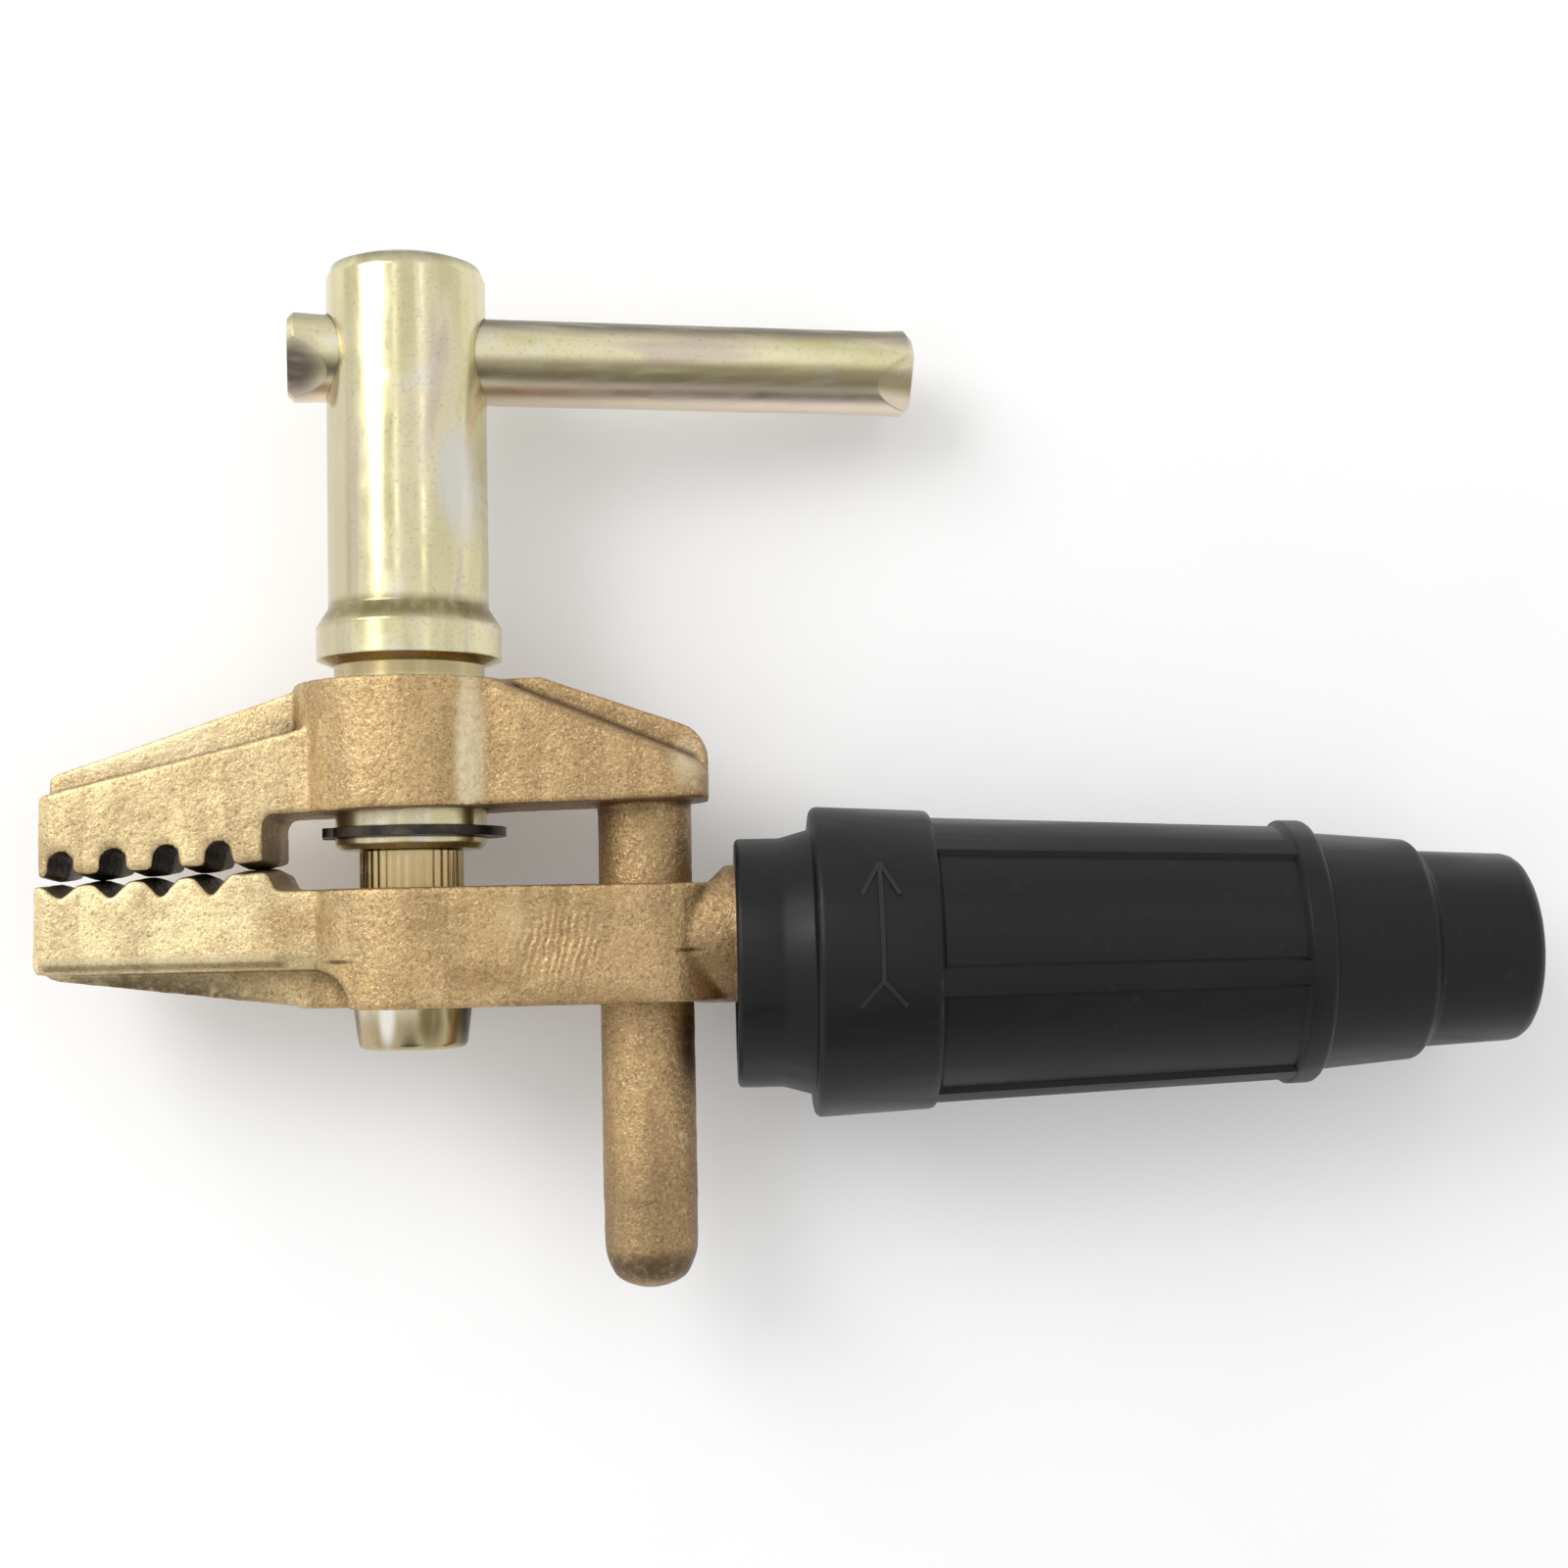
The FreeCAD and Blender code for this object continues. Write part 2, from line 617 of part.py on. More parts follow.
    bevel = new_sketch(body, "flange_bevel", "YZ_Plane", height=-size.recess_end_reach)
    past = size.lower_flange_bevel / 2
    outline(bevel, [
        (-size.lower_flange_depth + size.lower_flange_bevel, half),
        (-size.lower_flange_depth + size.lower_flange_bevel, half + SPARE),
        (-size.lower_flange_depth - past, half + SPARE),
        (-size.lower_flange_depth - past, half - size.lower_flange_bevel - past),
    ])
    side = pocket(body, bevel)
    mirror(body, side, "XY_Plane", False)

    # The round tail, with a ramp up to it from the flat top face.
    tail = new_sketch(body, "tail", "YZ_Plane", height=size.tail_root_reach)
    circle(tail, -size.tail_drop, 0.0, size.tail_radius)
    pad(body, tail, size.mouth_reach + size.tail_entry - size.tail_root_reach)
    ramp = new_sketch(body, "ramp", "XY_Plane")
    rise = size.tail_radius - size.tail_drop + 1.0
    outline(ramp, [
        (size.tail_root_reach - 1.0, 0.0),
        (size.tail_ramp_reach, 0.0),
        (size.tail_ramp_reach + rise, rise),
        (size.tail_root_reach - 1.0, rise),
    ])
    pocket(body, ramp, sides="Symmetric")

    # The coupler's plug: a collar, a pin and the locking lug on the pin's upper side.
    collar = new_sketch(body, "plug_collar", "YZ_Plane", height=size.mouth_reach + size.tail_entry)
    mouth = size.socket_flange_radius + size.seat_play
    circle(collar, -size.coupler_drop, 0.0, mouth - size.slide_play)
    pad(body, collar, size.plug_collar_end - size.tail_entry)
    pin = new_sketch(body, "plug_pin", "YZ_Plane", height=size.mouth_reach + size.plug_collar_end)
    circle(pin, -size.coupler_drop, 0.0, size.plug_radius)
    pad(body, pin, size.plug_end - size.plug_collar_end)

    def plug_tip(edge, middle):
        return is_near(middle.x, (size.mouth_reach + size.plug_end).value)

    bevel_edges(body, "plug_chamfer", plug_tip, size.plug_chamfer)
    lug = new_sketch(body, "lug", "YZ_Plane", height=size.mouth_reach + size.lug_start)
    outline(lug, [
        (-size.coupler_drop - size.lug_width / 2, 0.0),
        (-size.coupler_drop + size.lug_width / 2, 0.0),
        (-size.coupler_drop + size.lug_width / 2, size.lug_radius),
        (-size.coupler_drop - size.lug_width / 2, size.lug_radius),
    ])
    pad(body, lug, size.lug_length)

    # The holes for the stud and the guide pin.
    holes = new_sketch(body, "stud_hole", "XZ_Plane", height=SPARE)
    circle(holes, 0.0, 0.0, size.shank_radius + size.seat_play)
    circle(holes, size.guide_to_stud, 0.0, size.guide_radius + size.slide_play)
    pocket(body, holes, sides="Symmetric")
    return body


def make_upper_jaw():
    """Moving jaw: toothed arm and guide arm with ribs, a boss, and the guide pin in one casting."""
    body = new_body("upper_jaw")
    half = size.arm_width / 2
    rib = size.rib_width / 2
    guide_half = size.guide_arm_width / 2
    top = size.guide_rib_at_boss + 1.0
    bottom = size.land_at_tip - 1.0

    # Both arms as tall blanks.
    arm = new_sketch(body, "arm", "XZ_Plane", height=-top)
    outline(arm, [
        (-size.upper_tip_reach, -half, size.tip_corner),
        (0.0, -half),
        (0.0, half),
        (-size.upper_tip_reach, half, size.tip_corner),
    ])
    pad(body, arm, top - bottom)
    guide_arm = new_sketch(body, "guide_arm", "XZ_Plane", height=-top)
    outline(guide_arm, [
        (0.0, -guide_half),
        (size.guide_arm_reach, -guide_half, size.guide_arm_corner),
        (size.guide_arm_reach, guide_half, size.guide_arm_corner),
        (0.0, guide_half),
    ])
    pad(body, guide_arm, top - bottom)

    # The ribs' tops, cut across the whole width.
    high = top + SPARE
    rib_tip = -size.upper_tip_reach + size.rib_tip_step

    def arm_top(place):
        return along(
            -size.upper_tip_reach, -size.arm_boss_reach, size.arm_top_at_tip, size.arm_top_at_boss, place)

    rib_tops = new_sketch(body, "rib_tops", "XY_Plane")
    outline(rib_tops, [
        (-size.upper_tip_reach - SPARE, high),
        (-size.upper_tip_reach - SPARE, arm_top(-size.upper_tip_reach - SPARE)),
        (rib_tip, arm_top(rib_tip)),
        (rib_tip, size.rib_top_at_tip, size.rib_tip_rounding),
        (-size.arm_boss_reach, size.rib_top_at_boss),
        (size.guide_rib_reach, size.guide_rib_at_boss),
        (size.guide_arm_reach, size.guide_rib_at_end, size.guide_rib_rounding),
        (size.guide_arm_reach, size.guide_flange_at_end - 1.0),
        (size.guide_arm_reach + SPARE, size.guide_flange_at_end - 1.0),
        (size.guide_arm_reach + SPARE, high),
    ])
    pocket(body, rib_tops, sides="Symmetric")

    # The flanges' tops, lower than the ribs on both sides of them.
    flange_tops = new_sketch(body, "flange_tops", "XY_Plane", height=rib)
    outline(flange_tops, [
        (-size.upper_tip_reach - SPARE, high),
        (-size.upper_tip_reach - SPARE, arm_top(-size.upper_tip_reach - SPARE)),
        (-size.arm_boss_reach, size.arm_top_at_boss),
        (size.guide_flange_reach, size.guide_flange_at_boss),
        (size.guide_arm_reach + SPARE, along(
            size.guide_flange_reach, size.guide_arm_reach, size.guide_flange_at_boss,
            size.guide_flange_at_end, size.guide_arm_reach + SPARE)),
        (size.guide_arm_reach + SPARE, high),
    ])
    side = pocket(body, flange_tops, backwards=True)
    mirror(body, side, "XY_Plane", False)

    def flange_edge(edge, middle):
        outer = is_near(abs(middle.z), guide_half.value)
        return outer and middle.x > 0.0 and middle.y > size.guide_flange_at_end.value

    bevel_edges(body, "flange_bevel", flange_edge, size.guide_flange_bevel)

    # The boss round the nut's neck.
    boss = new_sketch(body, "boss", "XZ_Plane", height=-size.upper_boss_top)
    circle(boss, 0.0, 0.0, size.upper_boss_radius)
    pad(body, boss, size.upper_boss_top - bottom)

    # Round notches between the lands, the heel face and the sloping underside.
    def land(place):
        return along(
            -size.upper_tip_reach, -size.upper_heel_reach, size.land_at_tip, size.land_at_heel, place)

    def u_notch(place):
        left = place - size.u_mouth / 2
        right = place + size.u_mouth / 2
        roof = land(place) + size.u_depth
        return [
            (left, land(left), size.land_rounding),
            (place - size.u_top / 2, roof, size.u_rounding),
            (place + size.u_top / 2, roof, size.u_rounding),
            (right, land(right), size.land_rounding),
        ]

    def underside(place):
        return along(
            -size.upper_heel_reach, size.guide_arm_reach,
            size.underside_at_heel, size.underside_at_end, place)

    teeth = new_sketch(body, "teeth", "XY_Plane")
    low = bottom - SPARE
    outline(teeth, [
        (-size.upper_tip_reach - SPARE, low),
        (-size.upper_tip_reach - SPARE, land(-size.upper_tip_reach - SPARE)),
        *tooth_line(-size.notch_reach, size.u_pitch, int(size.tooth_count.value), u_notch),
        (-size.upper_heel_reach, land(-size.upper_heel_reach)),
        (-size.upper_heel_reach, underside(-size.upper_heel_reach), size.throat_rounding),
        (size.guide_arm_reach + SPARE, underside(size.guide_arm_reach + SPARE)),
        (size.guide_arm_reach + SPARE, low),
    ])
    pocket(body, teeth, sides="Symmetric")

    # The guide pin, from inside its arm down to its round end.
    pin_top = size.underside_at_end + 2.0
    pin = new_sketch(body, "guide_pin", "XY_Plane", shift=size.guide_to_stud)
    outline(pin, [
        (0.0, pin_top),
        (size.guide_radius, pin_top),
        *eased(size.guide_radius, -size.guide_end_depth, (0.0, 1.0), (-1.0, 0.0), size.guide_end_rounding),
        (0.0, -size.guide_end_depth),
    ])
    revolve(body, pin)

    # The bore that the nut's neck turns in.
    bore = new_sketch(body, "neck_bore", "XZ_Plane")
    circle(bore, 0.0, 0.0, size.neck_radius + size.slide_play)
    pocket(body, bore, sides="Symmetric")
    return body


def make_clamp_stud():
    """Threaded stud, pressed into the fixed jaw by its splined shank."""
    body = new_body("clamp_stud")
    head_bottom = -size.jaw_depth - size.stud_head_length
    shank_top = size.nut_bottom - size.face_gap
    stud_top = nut_bore_end - size.bore_room
    profile = new_sketch(body, "profile", "XY_Plane")
    outline(profile, [
        (0.0, head_bottom),
        (size.stud_head_end_radius - size.stud_head_chamfer, head_bottom),
        (size.stud_head_end_radius, head_bottom + size.stud_head_chamfer),
        (size.stud_head_radius, -size.jaw_depth),
        (size.shank_radius, -size.jaw_depth),
        (size.shank_radius, shank_top),
        (size.thread_radius, shank_top),
        (size.thread_radius, stud_top),
        (0.0, stud_top),
    ])
    revolve(body, profile)

    # One groove between two splines, on the part of the shank above the jaw.
    spline = new_sketch(body, "spline", "XZ_Plane")
    wide = size.spline_depth
    outline(spline, [
        (size.shank_radius - size.spline_depth, 0.0),
        (size.shank_radius + size.spline_depth, -2.0 * wide),
        (size.shank_radius + size.spline_depth, 2.0 * wide),
    ])
    cut = pocket(body, spline, size.nut_bottom)
    repeat_round(body, cut, "Y_Axis", size.spline_count)
    return body


def make_handle_nut():
    """Long nut: a neck that carries the moving jaw, a pressing flange and a barrel with the bar's hole."""
    body = new_body("handle_nut")
    body.Placement.Rotation = FreeCAD.Rotation(FreeCAD.Vector(0, 1, 0), size.bar_droop.value)
    bind(body, "Placement.Rotation.Angle", size.bar_droop)
    bore = size.thread_radius + size.bore_play
    nut_top = size.bar_height + size.nut_head
    groove_bottom = size.ring_bottom
    groove_top = size.ring_bottom + size.ring_thickness + 2.0 * size.seat_play
    profile = new_sketch(body, "profile", "XY_Plane")
    outline(profile, [
        (bore, size.nut_bottom),
        (size.neck_radius - size.neck_chamfer, size.nut_bottom),
        (size.neck_radius, size.nut_bottom + size.neck_chamfer),
        (size.neck_radius, groove_bottom),
        (size.ring_groove_radius, groove_bottom),
        (size.ring_groove_radius, groove_top),
        (size.neck_radius, groove_top),
        (size.neck_radius, size.flange_bottom - size.flange_cone),
        (size.flange_radius, size.flange_bottom),
        (size.flange_radius, size.flange_top),
        (size.nut_radius, size.shoulder_top),
        *eased(size.nut_radius, nut_top, (0.0, -1.0), (-1.0, 0.0), size.nut_top_rounding),
        (0.0, nut_top),
        (0.0, nut_bore_end),
        (bore, nut_bore_end),
    ])
    revolve(body, profile)
    hole = new_sketch(body, "bar_hole", "YZ_Plane")
    circle(hole, size.bar_height, 0.0, size.bar_radius + size.slide_play)
    pocket(body, hole, sides="Symmetric")
    return body


def make_retaining_ring():
    """Snap ring in the neck's groove, with two eared ends on the tooth side."""
    body = new_body("retaining_ring")
    body.Placement.Rotation = FreeCAD.Rotation(FreeCAD.Vector(0, 1, 0), size.bar_droop.value)
    bind(body, "Placement.Rotation.Angle", size.bar_droop)
    height = -(size.ring_bottom + size.seat_play)
    disc = new_sketch(body, "disc", "XZ_Plane", height=height)
    circle(disc, size.ring_shift, 0.0, size.ring_radius)
    pad(body, disc, size.ring_thickness, backwards=True)
    ear = new_sketch(body, "ear", "XZ_Plane", height=height)
    circle(ear, -size.ring_ear_reach, size.ring_ear_side, size.ring_ear_radius)
    one = pad(body, ear, size.ring_thickness, backwards=True)
    mirror(body, one, "XY_Plane", True)
    inside = new_sketch(body, "inside", "XZ_Plane")
    circle(inside, 0.0, 0.0, size.ring_groove_radius + size.seat_play)
    pocket(body, inside, sides="Symmetric")
    gap = new_sketch(body, "gap", "XZ_Plane")
    outline(gap, [
        (-size.ring_ear_reach - size.ring_ear_radius - SPARE, -size.ring_gap / 2),
        (-size.ring_groove_radius / 2, -size.ring_gap / 2),
        (-size.ring_groove_radius / 2, size.ring_gap / 2),
        (-size.ring_ear_reach - size.ring_ear_radius - SPARE, size.ring_gap / 2),
    ])
    pocket(body, gap, sides="Symmetric")
    holes = new_sketch(body, "ear_holes", "XZ_Plane")
    for side in (-1.0, 1.0):
        circle(holes, -size.ring_ear_reach, size.ring_ear_side * side, size.ring_ear_hole)
    pocket(body, holes, sides="Symmetric")
    return body


def make_tommy_bar():
    """Sliding handle bar, with its ends cut and spread so that it stays in the nut."""
    body = new_body("tommy_bar", y=size.bar_height)
    body.Placement.Rotation = FreeCAD.Rotation(FreeCAD.Vector(0, 1, 0), size.bar_droop.value)
    bind(body, "Placement.Rotation.Angle", size.bar_droop)
    spread = size.bar_radius + size.stake_spread
    profile = new_sketch(body, "profile", "XY_Plane")
    outline(profile, [
        (-size.bar_short_reach, 0.0),
        (-size.bar_short_reach, spread - size.bar_end_chamfer),
        (-size.bar_short_reach + size.bar_end_chamfer, spread),
        (-size.bar_short_reach + size.stake_length, size.bar_radius),
        (size.bar_long_reach - size.stake_length, size.bar_radius),
        (size.bar_long_reach - size.bar_end_chamfer, spread),
        (size.bar_long_reach, spread - size.bar_end_chamfer),
        (size.bar_long_reach, 0.0),
    ])
    revolve(body, profile, axis="H_Axis")

    # Flats that slope out towards the middle of the bar.
    turn = (FreeCAD.Vector(0, 0, 1), 90.0 + size.stake_turn)
    outer = spread + SPARE
    for name, reach, inward in (
        ("near", -size.bar_short_reach, 1.0),
        ("far", size.bar_long_reach, -1.0),
    ):
        section = new_sketch(body, f"{name}_stake", "YZ_Plane", height=reach, turn=turn)
        outline(section, [
            (spread - size.stake_cut_depth, -outer),
            (outer, -outer),
            (outer, outer),
            (spread - size.stake_cut_depth, outer),
        ])
        cut = body.newObject("PartDesign::Pocket", f"{body.Name}_{name}_stake_cut")
        cut.Profile = section
        cut.UseCustomVector = True
        slope = (
            size.stake_cut_length * inward,
            -size.stake_cut_depth * sine(size.stake_turn),
            size.stake_cut_depth * cosine(size.stake_turn),
        )
        cut.Direction = FreeCAD.Vector(*(part.value for part in slope))
        for part, axis in zip(slope, "xyz"):
            bind(cut, f"Direction.{axis}", part)
        cut.AlongSketchNormal = True
        bind(cut, "Length", size.stake_cut_length * 1.2)
        finish(body, cut, False)
        repeat_round(body, cut, "X_Axis", size.stake_count)
    return body


def make_rubber_sleeve():
    """Moulded rubber sleeve of the coupler, with a collar, a panelled body and a stepped cable end."""
    body = new_body("rubber_sleeve", x=size.mouth_reach, y=-size.coupler_drop)
    body.Placement.Rotation = FreeCAD.Rotation(FreeCAD.Vector(1, 0, 0), size.panel_turn.value)
    bind(body, "Placement.Rotation.Angle", size.panel_turn)
    flange_room = size.socket_flange_radius + size.seat_play
    socket_room = size.socket_radius + size.seat_play
    socket_start = size.plug_collar_end + size.face_gap
    flange_end = socket_start + size.socket_flange_length
    profile = new_sketch(body, "profile", "XY_Plane")
    outline(profile, [
        (0.0, flange_room),
        (0.0, size.nose_radius - size.nose_chamfer),
        (size.nose_chamfer, size.nose_radius),
        (size.nose_length, size.nose_radius),
        (size.collar_start, size.flare_radius),
        (size.collar_start, size.collar_radius - size.collar_chamfer),
        (size.collar_start + size.collar_chamfer, size.collar_radius),
        (size.collar_end - size.collar_chamfer, size.collar_rear_radius),
        (size.collar_end, size.body_radius - size.panel_depth),
        (size.ring_bead_start, size.body_end_radius - size.panel_depth),
        (size.ring_bead_start, size.ring_bead_radius),
        (size.ring_bead_end - size.bead_chamfer, size.ring_bead_radius),
        (size.ring_bead_end, size.ring_bead_radius - size.bead_chamfer),
        (size.ring_bead_end, size.step_radius),
        (size.step_end, size.step_end_radius),
        (size.entry_start, size.entry_radius),
        *eased(size.sleeve_length, size.entry_end_radius, (-1.0, 0.0), (0.0, -1.0), size.entry_rounding),
        (size.sleeve_length, size.cable_jacket_bore),
        (size.socket_end, size.cable_jacket_bore),
        (size.socket_end, socket_room),
        (flange_end, socket_room),
        (flange_end, flange_room),
    ])
    revolve(body, profile, axis="H_Axis")

    # One rib between two panels, then repeated.
    rib = new_sketch(body, "rib", "XZ_Plane")
    root_line = 2.0 * size.panel_depth
    outline(rib, [
        (size.collar_end, size.body_radius - root_line),
        (size.ring_bead_start, size.body_end_radius - root_line),
        (size.ring_bead_start, size.body_end_radius),
        (size.collar_end, size.body_radius),
    ])
    one = pad(body, rib, size.panel_rib_width, sides="Symmetric")
    repeat_round(body, one, "X_Axis", size.panel_count, grows=True)
    return body


def make_socket_body():
    """Brass socket of the coupler: plug bore with keyway and locking groove, and the cable's bore."""
    body = new_body("socket_body", x=size.mouth_reach, y=-size.coupler_drop)
    start = size.plug_collar_end + size.face_gap
    flange_end = start + size.socket_flange_length
    plug_bore = size.plug_radius + size.slide_play
    bore_end = size.plug_end + size.face_gap
    cable_start = size.socket_end - size.cable_bore_depth
    profile = new_sketch(body, "profile", "XY_Plane")
    outline(profile, [
        (start, plug_bore),
        (start, size.socket_flange_radius),
        (flange_end, size.socket_flange_radius),
        (flange_end, size.socket_radius),
        (size.socket_end, size.socket_radius),
        (size.socket_end, size.cable_bore_radius),
        (cable_start, size.cable_bore_radius),
        (cable_start, 0.0),
        (bore_end, 0.0),
        (bore_end, plug_bore),
    ])
    revolve(body, profile, axis="H_Axis")

    # The keyway that lets the lug in, and the groove that the lug turns in when locking.
    key_half = size.lug_width / 2 + size.lug_play
    roof = size.lug_radius + size.lug_play
    groove_end = size.lug_start + size.lug_length + size.lug_play
    key = new_sketch(body, "keyway", "YZ_Plane", height=start)
    outline(key, [
        (0.0, -key_half),
        (roof, -key_half),
        (roof, key_half),
        (0.0, key_half),
    ])
    pocket(body, key, groove_end - start, backwards=True)
    spare_turn = 28.0
    start_turn = (FreeCAD.Vector(1, 0, 0), as_size(360.0 - spare_turn))
    turn = new_sketch(body, "lock_groove", "XY_Plane", turn=start_turn)
    outline(turn, [
        (size.lug_start - size.lug_play, 1.0),
        (groove_end, 1.0),
        (groove_end, roof),
        (size.lug_start - size.lug_play, roof),
    ])
    groove(body, turn, "H_Axis", size.twist_range + 2.0 * spare_turn)

    # Threaded holes for the two set screws, on the upper side.
    holes = new_sketch(body, "screw_holes", "XY_Plane")
    for number in range(2):
        place = size.socket_end - size.screw_first - size.screw_pitch * number
        circle(holes, place, 0.0, size.screw_radius + size.seat_play)
    pocket(body, holes, backwards=True)
    return body


def make_cable_ferrule():
    """Slit copper sleeve that the set screws press round the cable's strands."""
    body = new_body("cable_ferrule", x=size.mouth_reach, y=-size.coupler_drop)
    outside = size.cable_bore_radius - size.seat_play
    start = size.socket_end - size.ferrule_length
    section = new_sketch(body, "section", "YZ_Plane", height=start)
    circle(section, 0.0, 0.0, outside)
    circle(section, 0.0, 0.0, outside - size.ferrule_wall)
    pad(body, section, size.ferrule_length)
    slit = new_sketch(body, "slit", "XZ_Plane")
    outline(slit, [
        (start - SPARE, -outside - SPARE),
        (size.socket_end + SPARE, -outside - SPARE),
        (size.socket_end + SPARE, 0.0),
        (start - SPARE, 0.0),
    ])
    pocket(body, slit, size.ferrule_slit, sides="Symmetric")
    return body


def make_set_screw(name, number):
    """Short set screw with a hexagon socket, standing upright in the socket's wall."""
    place = size.socket_end - size.screw_first - size.screw_pitch * number
    flat_height = root(size.socket_radius * size.socket_radius - size.screw_radius * size.screw_radius)
    top = flat_height - size.screw_sink
    body = new_body(name, x=size.mouth_reach + place, y=-size.coupler_drop, z=top)
    disc = new_sketch(body, "disc", "XY_Plane")
    circle(disc, 0.0, 0.0, size.screw_radius)
    pad(body, disc, size.screw_length, backwards=True)

    flat = size.hex_across / 2
    corner = flat * (2.0 / math.sqrt(3.0))
    hexagon = new_sketch(body, "hexagon", "XY_Plane")
    outline(hexagon, [
        (corner, 0.0),
        (corner / 2, flat),
        (-corner / 2, flat),
        (-corner, 0.0),
        (-corner / 2, -flat),
        (corner / 2, -flat),
    ])
    pocket(body, hexagon, size.hex_depth)
    return body


bodies = [
    make_lower_jaw(),
    make_clamp_stud(),
    make_upper_jaw(),
    make_handle_nut(),
    make_retaining_ring(),
    make_tommy_bar(),
    make_socket_body(),
    make_rubber_sleeve(),
    make_cable_ferrule(),
    make_set_screw("rear_set_screw", 0),
    make_set_screw("front_set_screw", 1),
]
document.recompute()

for item in document.Objects:
    if "Invalid" in item.State or "Error" in item.State:
        raise RuntimeError(f"{item.Name} failed: {item.State}")
for body in bodies:
    if body.Shape.isNull() or not body.Shape.isValid():
        raise RuntimeError(f"{body.Label} has no valid shape")
    if len(body.Shape.Solids) != 1:
        raise RuntimeError(f"{body.Label} is {len(body.Shape.Solids)} solids")

os.makedirs("parts", exist_ok=True)
for body in bodies:
    body.Shape.exportStep(f"parts/{body.Label}.step")
    print(body.Label, round(body.Shape.Volume, 1))
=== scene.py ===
"""Looks of a cast brass grounding clamp with a twist-lock cable coupler, in a plain studio."""

import logging
import math
from dataclasses import dataclass, field
from enum import Enum

import bmesh
import bpy
from mathutils import Matrix, Vector, noise


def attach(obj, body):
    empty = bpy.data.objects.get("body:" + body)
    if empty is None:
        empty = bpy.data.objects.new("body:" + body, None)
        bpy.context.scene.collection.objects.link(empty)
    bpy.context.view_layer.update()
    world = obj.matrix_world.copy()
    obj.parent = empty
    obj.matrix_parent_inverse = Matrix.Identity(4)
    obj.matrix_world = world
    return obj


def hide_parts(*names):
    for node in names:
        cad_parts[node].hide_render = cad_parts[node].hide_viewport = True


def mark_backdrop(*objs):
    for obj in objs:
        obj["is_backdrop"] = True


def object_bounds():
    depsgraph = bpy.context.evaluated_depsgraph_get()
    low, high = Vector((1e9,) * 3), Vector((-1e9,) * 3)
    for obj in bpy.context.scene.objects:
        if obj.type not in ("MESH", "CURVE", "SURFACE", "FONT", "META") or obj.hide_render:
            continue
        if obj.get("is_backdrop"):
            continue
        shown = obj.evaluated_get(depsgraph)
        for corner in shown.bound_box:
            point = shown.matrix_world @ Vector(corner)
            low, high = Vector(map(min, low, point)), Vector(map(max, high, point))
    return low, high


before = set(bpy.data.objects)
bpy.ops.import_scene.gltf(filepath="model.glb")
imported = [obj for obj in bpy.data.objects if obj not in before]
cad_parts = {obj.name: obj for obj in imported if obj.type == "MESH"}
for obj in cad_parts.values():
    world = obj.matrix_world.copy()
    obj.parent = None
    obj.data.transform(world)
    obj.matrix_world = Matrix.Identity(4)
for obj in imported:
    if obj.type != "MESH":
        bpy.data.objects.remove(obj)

MM = 0.001
SPOT_CORE = 0.35  # share of a spot's half-width at which it starts to fade
SEAM_CORE = 0.2  # the same for a seam
HOLLOW_SAMPLES = 8
EDGE_SAMPLES = 6
ROUNDING_SEGMENTS = 4

Colour = tuple[float, float, float]
Place = tuple[float, float, float]
Ramp = tuple[float, float, float, float]  # two values of a texture, and what they become
Socket = bpy.types.NodeSocket
ORIGIN: Place = (0.0, 0.0, 0.0)
log = logging.getLogger("grounding_clamp")


class Axis(Enum):
    """The direction that a piece is turned round, or its plating drawn along."""

    ALONG_THE_CABLE = (1.0, 0.0, 0.0)
    ALONG_THE_STUD = (0.0, 1.0, 0.0)

    def stretch(self) -> Place:
        """Factors that draw a plated film out along the axis."""
        return (0.10, 1.0, 1.0) if self is Axis.ALONG_THE_CABLE else (1.0, 0.12, 1.0)


def srgb(red: int, green: int, blue: int) -> Colour:
    """Turn a screen colour, each part from 0 to 255, into the linear one that a shader takes."""
    parts = [value / 255 for value in (red, green, blue)]
    return tuple(p / 12.92 if p <= 0.04045 else ((p + 0.055) / 1.055) ** 2.4 for p in parts)


# The finishes


@dataclass(frozen=True)
class Mottle:
    """A soft noise: the size of its spots in millimetres, its finer layers and its swirl."""

    size: float
    detail: float = 3.0
    swirl: float = 0.0


@dataclass(frozen=True)
class Band:
    """The values of a texture from which a colour starts to show and is full, and its greatest share."""

    start: float
    full: float
    share: float = 1.0


